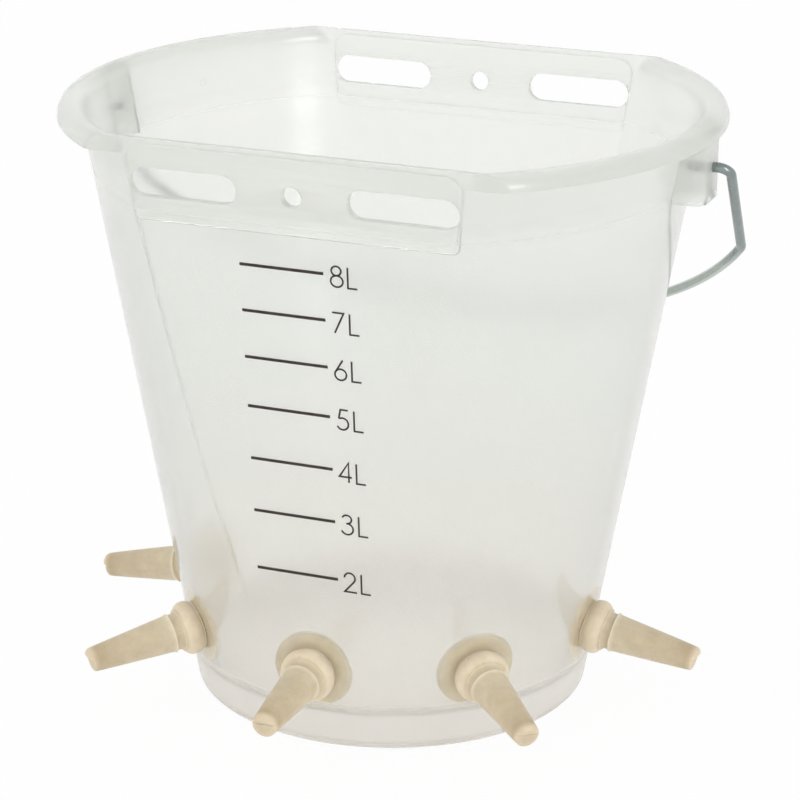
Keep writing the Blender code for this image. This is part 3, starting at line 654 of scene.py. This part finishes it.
def inner_levels():
    """From the crown down the inner half of the arch and the inside, to the floor's corner."""
    low = FLOOR_HEIGHT + FLOOR_CORNER
    levels = [(height, -WALL, radius - tub_radius(height, -WALL), 0) for radius, height in arc(
        (RIM_CENTRE, RIM_ARCH_HEIGHT), RIM_HALF_WIDTH, RIM_LAND_ANGLE + CROWN_STEP, pi, steps=18)]
    levels += [(low + (RIM_ARCH_HEIGHT - low) * share, -WALL, 0, 0) for share in reversed(SHARES)]
    return levels + [(low + drop, -WALL, 0, FLOOR_CORNER - across) for across, drop in arc(
        (0, 0), FLOOR_CORNER, 0, -pi / 2, steps=CORNER_STEPS)]


all_levels = underside_levels() + outer_levels() + inner_levels()
print("levels", len(all_levels), "and the rim's radius in mm", round(RIM_OUTER * 1000, 1))

# %% [markdown]
# Under the rim runs a channel, open below. It stops 2 mm before the plane of each flat, and
# what is left there is a thin web in the shape of the arch. The webs show from the front as
# small half moons at both ends of the flat.


# %% Channel under the rim
def between_flats():
    """A block whose two long sides lie in the inner faces of the flats."""
    reach = TOP_RADIUS * 2
    rows = []
    for height in (-TUB_HEIGHT * 0.5, TUB_HEIGHT * 1.5):
        side = flat_distance(height, -WALL)
        rows.append([(x * reach, y * side, height) for x, y in CORNERS])
    return tool(skin("inner_flats", rows, capped=True))


def rim_channel():
    """The space under the arch on both round ends."""
    inner = tub_radius(SKIRT_BOTTOM) + RIM_LEDGE
    outer = RIM_OUTER - RIM_WALL
    low = SKIRT_BOTTOM - CHANNEL_BELOW
    profile = [(inner, low)]
    profile += arc(((inner + outer) / 2, RIM_ARCH_HEIGHT), (outer - inner) / 2, pi, 0, steps=16)
    profile.append((outer, low))
    channel = turned("rim_channel", profile, ring=True, phase=0.5)
    return combine(channel, between_flats(), "INTERSECT")


print("webs are", WALL * 1000, "mm thick")

# %% [markdown]
# Each flat carries a band where the bucket hangs from a fence bracket. It is thicker than the
# wall, a little proud outside and more so inside, where it runs out in a ramp. Two long slots
# take the bracket's hooks, and a round hole between them takes its peg.

# %% Hanging bands, slots and holes
BAND_BOTTOM, BAND_TOP = TUB_HEIGHT - 0.0327, TUB_HEIGHT - 0.0024
BAND_PROUD_OUTSIDE, BAND_PROUD_INSIDE, BAND_RAMP = 0.0008, 0.0017, 0.0045
BAND_OVERLAP, BAND_INSET, BAND_LOW_CORNER, BAND_HIGH_CORNER = 0.0006, 0.0020, 0.0035, 0.0070
SLOT_LENGTH, SLOT_WIDTH, SLOT_SPACING = 0.0500, 0.0130, 0.1005
SLOT_HEIGHT = TUB_HEIGHT - 0.0193
PEG_HOLE_RADIUS, BAND_SOFTNESS = 0.0045, 0.45


def band(side, inner):
    """A pad on the flat, let into the wall by half its thickness."""
    lean = cos(FLAT_LEAN)
    low = (BAND_BOTTOM - SLOT_HEIGHT - (BAND_RAMP if inner else 0)) / lean
    high = (BAND_TOP - SLOT_HEIGHT) / lean
    lower, upper = half_chord(BAND_BOTTOM) + BAND_OVERLAP, half_chord(BAND_TOP) - BAND_INSET
    outline = rounded([((-lower, low), BAND_LOW_CORNER), ((lower, low), BAND_LOW_CORNER),
                       ((upper, high), BAND_HIGH_CORNER), ((-upper, high), BAND_HIGH_CORNER)])
    proud = BAND_PROUD_INSIDE if inner else BAND_PROUD_OUTSIDE
    middle = -WALL - (proud - WALL / 2) / 2 if inner else (proud - WALL / 2) / 2
    thickness = proud + WALL / 2
    place = flat_frame(side, SLOT_HEIGHT) @ Matrix.Translation((0, 0, middle))
    return soften(plate("band", outline, thickness, place), thickness * BAND_SOFTNESS)


def flared(name, outline, frame_matrix, soft=0.0006, beyond_face=0.004):
    """A hole's cutter that opens out by a small radius at each face of the plastic."""
    outer, inner = BAND_PROUD_OUTSIDE, -WALL - BAND_PROUD_INSIDE
    curve = [(0.3, 0.55), (0.6, 0.2), (1.0, 0.0)]
    heights = [(inner - beyond_face, soft), (inner, soft)]
    heights += [(inner + soft * up, soft * wide) for up, wide in curve]
    heights += [(outer - soft * up, soft * wide) for up, wide in reversed(curve)]
    heights += [(outer, soft), (outer + beyond_face, soft)]
    rows = []
    for height, wide in heights:
        rows.append([])
        for index, (x, y) in enumerate(outline):
            x0, y0 = outline[index - 1]
            x1, y1 = outline[(index + 1) % len(outline)]
            out = Vector((y1 - y0, x0 - x1)).normalized()
            rows[-1].append((x + out.x * wide, y + out.y * wide, height))
    return tool(skin(name, rows, capped=True), frame_matrix)


def slot_outline():
    """A slot with round ends, running anticlockwise."""
    radius = SLOT_WIDTH / 2
    reach = SLOT_LENGTH / 2 - radius
    points = arc((reach, 0), radius, -pi / 2, pi / 2, steps=20)
    return points + arc((-reach, 0), radius, pi / 2, pi * 1.5, steps=20)


print("band is", round((BAND_TOP - BAND_BOTTOM) * 1000, 1), "mm deep")

# %% [markdown]
# The two ears are hollow lugs under the rim that carry the ends of the wire. Each has two
# side walls and a face, open below, and rounded upright corners.

# %% Ears
EAR_FACE, EAR_WIDTH, EAR_WALL, EAR_CORNER = 0.1496, 0.0246, 0.0020, 0.0058
EAR_BOTTOM, EAR_EDGE = TUB_HEIGHT - 0.0343, 0.0009
WIRE_RADIUS, WIRE_HOLE_CLEARANCE, WIRE_END_GAP = 0.00225, 0.00035, 0.0005


def ear(side):
    """One lug with its pocket, each cut to its shape from the side."""
    inside = tub_radius(EAR_BOTTOM) - EAR_WIDTH / 2
    top = TUB_HEIGHT - RIM_WALL / 2
    height, shoulder = top - EAR_BOTTOM, RIM_ARCH_HEIGHT + RIM_SKIRT
    turn_to = AXIS if side > 0 else AXIS @ Matrix.Rotation(pi, 4, "Z")
    tall = turn_to @ Matrix.Translation((0, 0, (EAR_BOTTOM + top) / 2))
    across = AXIS @ frame_on((0, 0, 0), (0, -side, 0), (side, 0, 0))

    def block(name, thin, deep, soft, reach, low, upper, high):
        face, width, corner = EAR_FACE - thin, EAR_WIDTH / 2 - thin, EAR_CORNER - thin
        body = plate(name, rounded([((inside, -width), 0), ((face, -width), corner),
                                    ((face, width), corner), ((inside, width), 0)]), deep, tall)
        if soft:
            soften(body, soft)
        outline = [(inside, low), (reach, low), (reach, upper), (RIM_CENTRE, high), (inside, high)]
        return combine(body, plate(name + "_side", outline, EAR_WIDTH * 2, across), "INTERSECT")

    body = block("ear", 0, height, EAR_EDGE,
                 EAR_FACE + EAR_WALL, EAR_BOTTOM - EAR_WALL, shoulder, top)
    pocket = block("ear_pocket", EAR_WALL, height * 2, 0, EAR_FACE - EAR_WALL / 2,
                   EAR_BOTTOM - height, shoulder - EAR_WALL / 4, top - RIM_WALL)
    return combine(body, pocket)


def wire_hole(side):
    """The round hole through an ear's face."""
    frame_matrix = AXIS @ frame_on((side * EAR_FACE, 0, PIVOT[2]), (side, 0, 0), (0, 1, 0))
    radius = WIRE_RADIUS + WIRE_HOLE_CLEARANCE
    hole = [(0, EAR_WALL), (radius, EAR_WALL), (radius, -EAR_WALL * 1.5), (0, -EAR_WALL * 1.5)]
    return turned("wire_hole", hole, steps=32, matrix=frame_matrix)


print("ears reach", round(EAR_FACE * 1000), "mm from the axis")

# %% [markdown]
# A teat goes through a round hole that is square to the wall. One function gives the place of
# the hole, for the bucket and again for the teat, with Z along the teat.

# %% Places of the teats
TEAT_HEIGHT, TEAT_HOLE_RADIUS, TEAT_GAP = 0.0390, 0.0100, 0.00012
TEATS = {"teat_left": 180, "teat_front_left": 225, "teat_front": 270,
         "teat_front_right": 315, "teat_right": 0}


def teat_frame(angle):
    """Where a teat's axis leaves the outer wall: Z outward along the teat, X level."""
    way = radians(angle)
    radius, slope = tub_radius(TEAT_HEIGHT), CONE_SLOPE
    if abs(sin(way)) * radius > flat_distance(TEAT_HEIGHT):
        radius, slope = flat_distance(TEAT_HEIGHT) / abs(sin(way)), FLAT_SLOPE
    outward = (cos(way), sin(way), -slope)
    point = (radius * cos(way), radius * sin(way), TEAT_HEIGHT)
    return AXIS @ frame_on(point, outward, (-sin(way), cos(way), 0))


print("teats at", sorted(TEATS.values()), "degrees")

# %% [markdown]
# Now the bucket is put together. After the Booleans the result is read into one mesh, its
# normals are made smooth except across real edges, and the tools are thrown away.

# %% Bucket
MARK_RADIUS, MARK_BEAD, MARK_ANGLE, MARK_HEIGHT = 0.0016, 0.00025, radians(154.5), 0.2627
NOTCH_WIDTH, NOTCH_HEIGHT, NOTCH_BEHIND_AXIS, NOTCH_REACH = 0.0100, 0.0035, 0.0080, 0.008
WALL_CREASE, PIECE_CREASE = 35, 50


def finished(mesh, material, crease):
    """An object with its material, smooth except across edges sharper than an angle."""
    mesh.shade_smooth()
    mesh.set_sharp_from_angle(angle=radians(crease))
    mesh.materials.append(material)
    return put(mesh)


def read_result(item, name):
    """The mesh that a tool's modifiers give, in world coordinates and without materials."""
    bpy.context.view_layer.update()
    evaluated = item.evaluated_get(bpy.context.evaluated_depsgraph_get())
    mesh = bpy.data.meshes.new_from_object(evaluated)
    mesh.transform(item.matrix_world)
    mesh.name = name
    mesh.materials.clear()
    for face in mesh.polygons:
        face.material_index = 0
    return mesh


def mould_mark():
    """The fine ring that an ejector pin left inside the wall, near the rim."""
    radius = tub_radius(MARK_HEIGHT, -WALL)
    way = Vector((cos(MARK_ANGLE), sin(MARK_ANGLE), 0))
    point = (way.x * radius, way.y * radius, MARK_HEIGHT)
    place = AXIS @ frame_on(point, (way.x, way.y, -CONE_SLOPE), (-way.y, way.x, 0))
    bead = arc((MARK_RADIUS, 0), MARK_BEAD, 0, tau)[:-1]
    return turned("mould_mark", bead, steps=32, matrix=place, ring=True)


def make_bucket():
    """The whole moulding."""
    body = shell("bucket_shell", all_levels, FLOOR_UNDERSIDE, FLOOR_HEIGHT)
    combine(body, rim_channel())
    low = FLOOR_HEIGHT + FLOOR_CORNER
    hollow = [(low, -WALL, 0, EAR_CORNER)] + list(reversed(inner_levels()))[CORNER_STEPS + 1:]
    hollow.append((TUB_HEIGHT + EAR_WALL, -WALL, RIM_HALF_WIDTH * 3, 0))
    inside = shell("bucket_inside", hollow, low, TUB_HEIGHT + EAR_WALL)
    for side in (-1, 1):
        combine(body, combine(ear(side), inside), "UNION")
        combine(body, band(side, False), "UNION")
        combine(body, band(side, True), "UNION")
        combine(body, wire_hole(side))
        middle = flat_frame(side, SLOT_HEIGHT)
        for place in (-1, 1):
            shift = Matrix.Translation((place * SLOT_SPACING / 2, 0, 0))
            combine(body, flared("slot", slot_outline(), middle @ shift))
        peg_hole = flared("peg_hole", circle(PEG_HOLE_RADIUS, steps=40), middle)
        combine(body, peg_hole)
        notch = [(x * NOTCH_REACH, y * NOTCH_WIDTH / 2) for x, y in CORNERS]
        place = AXIS @ Matrix.Translation((side * BASE_RADIUS, NOTCH_BEHIND_AXIS, 0))
        combine(body, plate("notch", notch, NOTCH_HEIGHT * 2, place))
    for angle in TEATS.values():
        hole = [(0, WALL * 3), (TEAT_HOLE_RADIUS, WALL * 3), (TEAT_HOLE_RADIUS, -WALL * 4),
                (0, -WALL * 4)]
        combine(body, turned("teat_hole", hole, steps=48, matrix=teat_frame(angle)))
    combine(body, mould_mark(), "UNION")
    return read_result(body, "milky_bucket")


bucket = finished(make_bucket(), polypropylene, WALL_CREASE)
for used in tools:
    bpy.data.objects.remove(used, do_unlink=True)
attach(bucket, "bucket")
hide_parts("bucket")
print("bucket faces", len(bucket.data.polygons))

# %% [markdown]
# A pull-in teat is one turned form, from the tip over the nozzle and the collar, through the
# hole and out to the flange, and back up the bore. It is soft, so the collar and the flange
# lie against a curved wall. Each row of points says how far it follows the wall: the rows
# near the wall fully, those of the nozzle not at all. The flange is pressed on with no air
# behind it, so it shows clearly through the wall, and is let in by a twentieth of a millimetre.
# A fine ridge runs up both sides, where the mould halves met, and the end has the cut that lets
# the milk out.

# %% Shape of a teat
TEAT_LENGTH, TEAT_STEPS = 0.0540, 96
COLLAR_RADIUS, COLLAR_HEIGHT, NECK_RADIUS = 0.0126, 0.0086, 0.0085
RING_HEIGHT, RING_RADIUS, ROOT_RADIUS, TIP_RADIUS = 0.0127, 0.0093, 0.0087, 0.0057
RING_EDGE, RING_DEPTH, NOZZLE_SWELL = 0.0004, 0.0013, 0.93
WAIST_WIDTH, WAIST_DEPTH, WAIST_HEIGHT = 0.0018, 0.0020, COLLAR_HEIGHT + 0.0025
COLLAR_ROUNDING, COLLAR_DOME, HOLE_EDGE = 0.0031, COLLAR_HEIGHT * 0.5, 0.0004
FLANGE_RADIUS, FLANGE_THICKNESS, BORE_RADIUS, BORE_TIP_RADIUS = 0.0184, 0.0025, 0.0055, 0.0026
TIP_WALL, TIP_ROUNDING = 0.0035, 0.0026
SEAM_RIDGE, SEAM_WIDTH, FLANGE_PRESS = 0.00016, radians(3), 0.00005
CUT_PLACE, CUT_DEPTH, CUT_WIDTH, LIP_STEP, LIP_EDGE = 0.0012, 0.0008, 0.0006, 0.0012, 0.0003
SEAM_FROM, SEAM_END, NECK_FILLET = 0.001, TIP_RADIUS * 0.7, 0.0002
FLANGE_CLEAR, FLANGE_SPREAD, WAIST_FOLLOWS, COLLAR_FREEDOM = 0.0006, 0.2, 0.1, 0.8
OUTER_FACE, INNER_FACE = TEAT_GAP, -WALL + FLANGE_PRESS


def teat_rows():
    """Rows from the tip to the top of the bore: radius, height, how far it follows, face."""
    flat_end = TIP_RADIUS - TIP_ROUNDING
    top, foot = TEAT_LENGTH - TIP_ROUNDING, RING_HEIGHT + RING_DEPTH
    free = [(flat_end * share, TEAT_LENGTH) for share in (0.0, *SHARES)]
    free += arc((flat_end, top), TIP_ROUNDING, pi / 2, 0, steps=9)
    free += [(TIP_RADIUS + (ROOT_RADIUS - TIP_RADIUS) * share ** NOZZLE_SWELL,
              top + (foot - top) * share) for share in (*SHARES, 0.97)]
    free.append((ROOT_RADIUS + NECK_FILLET / 2, foot))
    free += arc((RING_RADIUS - RING_EDGE, RING_HEIGHT + RING_EDGE), RING_EDGE,
                radians(70), -pi / 2, steps=5)
    free += [(NECK_RADIUS + NECK_FILLET, RING_HEIGHT - NECK_FILLET / 2),
             (NECK_RADIUS, RING_HEIGHT - NECK_FILLET * 4)]
    rows = [(*point, 0, OUTER_FACE) for point in free]
    rows += [(*point, WAIST_FOLLOWS, OUTER_FACE) for point in arc(
        (NECK_RADIUS + WAIST_WIDTH, WAIST_HEIGHT), (WAIST_WIDTH, WAIST_DEPTH),
        pi, radians(262), steps=7)]
    rows += [(*point, 1 - point[1] / COLLAR_HEIGHT * COLLAR_FREEDOM, OUTER_FACE) for point in arc(
        (COLLAR_RADIUS - COLLAR_ROUNDING, COLLAR_DOME), (COLLAR_ROUNDING, COLLAR_DOME),
        radians(80), radians(-62), steps=14)]
    hole = TEAT_HOLE_RADIUS - TEAT_GAP
    rows += [(*point, 1, OUTER_FACE) for point in (
        (COLLAR_RADIUS - 0.0012, 0.00015), (COLLAR_RADIUS - 0.0018, 0),
        (hole + HOLE_EDGE, 0), (hole, -HOLE_EDGE))]
    edge, back = FLANGE_THICKNESS / 2, -FLANGE_THICKNESS
    flange = [(hole, HOLE_EDGE), (hole + HOLE_EDGE, 0)]
    flange += [(TEAT_HOLE_RADIUS + (FLANGE_RADIUS - TEAT_HOLE_RADIUS) * share, 0)
               for share in (0.25, 0.5, 0.75)]
    flange += arc((FLANGE_RADIUS - edge, -edge), edge, pi / 2, -pi / 2)
    flange += [(FLANGE_RADIUS * 0.72, back - 0.0002), (BORE_RADIUS + 0.0024, back - 0.0003),
               (BORE_RADIUS + 0.0008, back - 0.0001), (BORE_RADIUS, back + 0.0006)]
    rows += [(*point, 1, INNER_FACE) for point in flange]
    inside_tip = TEAT_LENGTH - TIP_WALL
    return rows + [(*point, 0, OUTER_FACE) for point in (
        (BORE_RADIUS, COLLAR_HEIGHT), (BORE_TIP_RADIUS, inside_tip), (0.0, inside_tip))]


print("rows in a teat", len(teat_rows()))

# %% [markdown]
# The wall's place under a point of the teat is found by halving a span until the point lies
# on the cone or the flat, whichever comes first.

# %% Fitting a teat to the wall
WALL_SPAN, HALVINGS = 0.02, 22


def wall_under(place, x, y, offset):
    """Height along a teat's axis at which a line through (x, y) meets the wall."""
    low_end, high_end = -WALL_SPAN, WALL_SPAN
    for _ in range(HALVINGS):
        middle = (low_end + high_end) / 2
        point = place @ Vector((x, y, middle))
        reach = hypot(point.x, point.y - AXIS_Y)
        beyond = max(reach - tub_radius(point.z, offset),
                     abs(point.y - AXIS_Y) - flat_distance(point.z, offset))
        if beyond > 0:
            high_end = middle
        else:
            low_end = middle
    return (low_end + high_end) / 2


def make_teat(name, angle, twist):
    """One teat with its seams, its cut end and a flange trimmed above the floor."""
    place = teat_frame(angle)
    lowest = (FLOOR_HEIGHT + FLOOR_CORNER + FLANGE_CLEAR - TEAT_HEIGHT) / cos(CONE_LEAN)
    rows = []
    for radius, height, follow, face in teat_rows():
        rows.append([])
        moulded = height > SEAM_FROM and radius > SEAM_END and face > 0
        for step in range(TEAT_STEPS if radius else 1):
            around = tau * step / TEAT_STEPS + twist
            wide = radius
            if moulded and radius != BORE_RADIUS:
                for seam in (0, pi):
                    apart = remainder(around - seam, tau)
                    wide += SEAM_RIDGE * exp(-(apart / SEAM_WIDTH) ** 2)
            x, y = wide * cos(around), wide * sin(around)
            tall = height
            share = (height - TEAT_LENGTH + TIP_ROUNDING) / TIP_ROUNDING
            if share > 0:
                tall -= share * CUT_DEPTH * exp(-((y - CUT_PLACE) / CUT_WIDTH) ** 2)
                tall -= share * LIP_STEP / (1 + exp((y - CUT_PLACE) / LIP_EDGE))
            if face < 0:
                y = max(y, lowest + (FLANGE_RADIUS - radius) * FLANGE_SPREAD)
            under = wall_under(place, x, y, face) if follow or face < 0 else 0
            base = under if face < 0 else under * follow + face * follow
            rows[-1].append((x, y, base + tall))
    mesh = skin(name, rows)
    mesh.flip_normals()
    made = finished(mesh, rubber, PIECE_CREASE)
    made.matrix_world = place
    return made


SEAM_TURNS = (4, -9, 7, 2, -5)
for (node, angle), turn in zip(TEATS.items(), SEAM_TURNS):
    teat = make_teat("rubber_" + node, angle, radians(turn))
    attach(teat, "bucket")
    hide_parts(node)
print("teats made", len(TEATS))

# %% [markdown]
# The bail is one wire: a straight end in each ear, a tight bend, a leaning arm, a second
# bend and a wide arc. It hangs on the ears and rests against the rear of the bucket. The rest
# angle is read from the CAD wire's box, so that the drawn wire lies exactly where it does.

# %% Bail
BEND_BESIDE_EAR, ARM_LEAN = 0.0076, 0.0072
BAIL_HALF_WIDTH = EAR_FACE + BEND_BESIDE_EAR
BAIL_CORNER_X = BAIL_HALF_WIDTH - ARM_LEAN
BAIL_CORNER_REACH, BAIL_SAG = 0.0708, 0.0905
BAIL_REACH = BAIL_CORNER_REACH + BAIL_SAG
PIVOT_BEND, CORNER_BEND = 0.0052, 0.0085
WIRE_SIDES, ARC_STEPS = 24, 60
bail_low, bail_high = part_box("bail_handle")
REST_ANGLE = atan2(bail_high.y - AXIS_Y - WIRE_RADIUS, PIVOT[2] - bail_low.z - WIRE_RADIUS)


def bail_path():
    """Centre line as (x, reach from the pivot) pairs, from the left end to the right end."""
    radius = (BAIL_CORNER_X ** 2 + BAIL_SAG ** 2) / (2 * BAIL_SAG)
    centre = BAIL_REACH - radius
    edge_angle = atan2(BAIL_CORNER_REACH - centre, BAIL_CORNER_X)
    tangent = Vector((-sin(edge_angle), cos(edge_angle)))
    corner = Vector((BAIL_CORNER_X, BAIL_CORNER_REACH))
    wire_end = tub_radius(PIVOT[2]) + WIRE_END_GAP
    arm_end = corner + tangent * CORNER_BEND * 3
    run = rounded([((wire_end, 0), 0), ((BAIL_HALF_WIDTH, 0), PIVOT_BEND),
                   (tuple(corner), CORNER_BEND), (tuple(arm_end), 0)], steps=12)
    run.pop()
    start = atan2(run[-1][1] - centre, run[-1][0])
    for step in range(1, ARC_STEPS + 1):
        angle = start + (pi / 2 - start) * step / ARC_STEPS
        run.append((radius * cos(angle), centre + radius * sin(angle)))
    return run[:-1] + [(-x, reach) for x, reach in reversed(run)]


def make_wire(path, matrix):
    """A round wire along a flat path, with its cut ends chamfered."""
    chamfer = WIRE_RADIUS * 0.25
    rows, last = [], len(path) - 1
    for index in range(len(path)):
        here = Vector(path[index])
        ahead = Vector(path[min(index + 1, last)]) - Vector(path[max(index - 1, 0)])
        across = Vector((-ahead.y, ahead.x)).normalized()
        stations = [(here, WIRE_RADIUS - (chamfer if index in (0, last) else 0))]
        if index == 0:
            stations.append((here + ahead.normalized() * chamfer, WIRE_RADIUS))
        for spot, radius in stations:
            rows.append([])
            for side in range(WIRE_SIDES):
                around = tau * side / WIRE_SIDES
                flat = spot + across * radius * cos(around)
                rows[-1].append((flat.x, radius * sin(around), -flat.y))
    mesh = skin("zinc_bail", rows, capped=True)
    mesh.transform(matrix)
    return finished(mesh, zinc, PIECE_CREASE)


hang = Matrix.Translation(PIVOT) @ Matrix.Rotation(REST_ANGLE, 4, "X")
wire = make_wire(bail_path(), hang)
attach(wire, "handle")
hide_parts("bail_handle")
print("bail rests at", round(degrees(REST_ANGLE), 1), "degrees from straight down")

# %% [markdown]
# The litre scale is pad printed on the front flat. Each mark is a bar and a figure of thin
# even strokes. The figures are drawn from arcs and lines in a box whose height is 1, and a
# ribbon of ink is laid along each stroke. The real film is about 0.01 mm thick. It is drawn
# 0.04 mm thick, so that it stays clear.

# %% Strokes of the figures
FIGURES = {
    "8": [arc((0.30, 0.775), (0.235, 0.225), 0, tau, steps=40),
          arc((0.32, 0.275), (0.300, 0.275), 0, tau, steps=44)],
    "7": [[(0.01, 1), (0.57, 1), (0.11, 0)]],
    "6": [[(0.42, 1), (0.070, 0.43)], arc((0.30, 0.275), (0.285, 0.275), 0, tau, steps=44)],
    "5": [[(0.56, 1), (0.19, 1), (0.105, 0.585)]
          + arc((0.28, 0.295), (0.29, 0.295), radians(118), radians(-155), steps=36)],
    "4": [[(0.47, 0), (0.47, 1), (0.0, 0.27), (0.62, 0.27)]],
    "3": [arc((0.26, 0.785), (0.235, 0.215), radians(160), radians(-84), steps=30),
          arc((0.265, 0.285), (0.30, 0.285), radians(98), radians(-158), steps=36)],
    "2": [arc((0.27, 0.725), (0.27, 0.275), radians(178), radians(-38), steps=30)
          + [(0.0, 0.0), (0.62, 0.0)]],
    "L": [[(0, 1), (0, 0), (0.46, 0)]],
}
SHARPEST_MITRE, LONGEST_MITRE = 0.2, 2.4


def ribbon(body, points, width, thickness, matrix):
    """Lay a strip of even width along a run of points, with mitred corners."""
    closed = dist(points[0], points[-1]) < width * 0.1
    if closed:
        points = points[:-1]
    count = len(points)
    rows = []
    for index in range(count):
        here = Vector(points[index])
        before = Vector(points[index - 1]) if index or closed else None
        after = Vector(points[(index + 1) % count]) if index < count - 1 or closed else None
        first = (here - before).normalized() if before is not None else (after - here).normalized()
        second = (after - here).normalized() if after is not None else first
        along = (first + second).normalized()
        stretch = min(1 / max(along.dot(first), SHARPEST_MITRE), LONGEST_MITRE)
        out = Vector((-along.y, along.x)) * width / 2 * stretch
        rows.append([body.verts.new(matrix @ Vector((*(here + out * way), height)))
                     for way, height in ((1, 0), (1, thickness), (-1, thickness), (-1, 0))])
    for index in range(count if closed else count - 1):
        row, beyond = rows[index], rows[(index + 1) % count]
        for side in range(4):
            body.faces.new((row[side], row[(side + 1) % 4], beyond[(side + 1) % 4], beyond[side]))
    if not closed:
        body.faces.new(rows[0][::-1])
        body.faces.new(rows[-1])


print("figures", " ".join(FIGURES))

# %% Litre scale
MARKS = {8: 0.2304, 7: 0.2094, 6: 0.1879, 5: 0.16485, 4: 0.1401, 3: 0.1150, 2: 0.0870}
BAR_LEFT, BAR_RIGHT, BAR_WIDTH = -0.0246, 0.0141, 0.00142
FIGURE_HEIGHT, FIGURE_DROP, STROKE = 0.0093, 0.0053, 0.00085
FIGURE_GAP, LETTER_GAP = 0.0031, 0.0111
PRINT_SKEW, SKEW_FROM = -0.010, 0.150
INK_BED, INK_FILM = 0.00002, 0.00004
body = bmesh.new()
for litres, height in MARKS.items():
    shift = PRINT_SKEW * (height - SKEW_FROM)
    place = flat_frame(-1, height) @ Matrix.Translation((shift, 0, INK_BED))
    ribbon(body, [(BAR_LEFT, 0), (BAR_RIGHT, 0)], BAR_WIDTH, INK_FILM, place)
    for sign, gap in ((str(litres), FIGURE_GAP), ("L", LETTER_GAP)):
        for run in FIGURES[sign]:
            placed = [(BAR_RIGHT + gap + x * FIGURE_HEIGHT, y * FIGURE_HEIGHT - FIGURE_DROP)
                      for x, y in run]
            ribbon(body, placed, STROKE, INK_FILM, place)
scale_print = put(written(body, bpy.data.meshes.new("litre_scale")))
scale_print.data.materials.append(ink)
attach(scale_print, "bucket")
print("scale marks", len(MARKS))
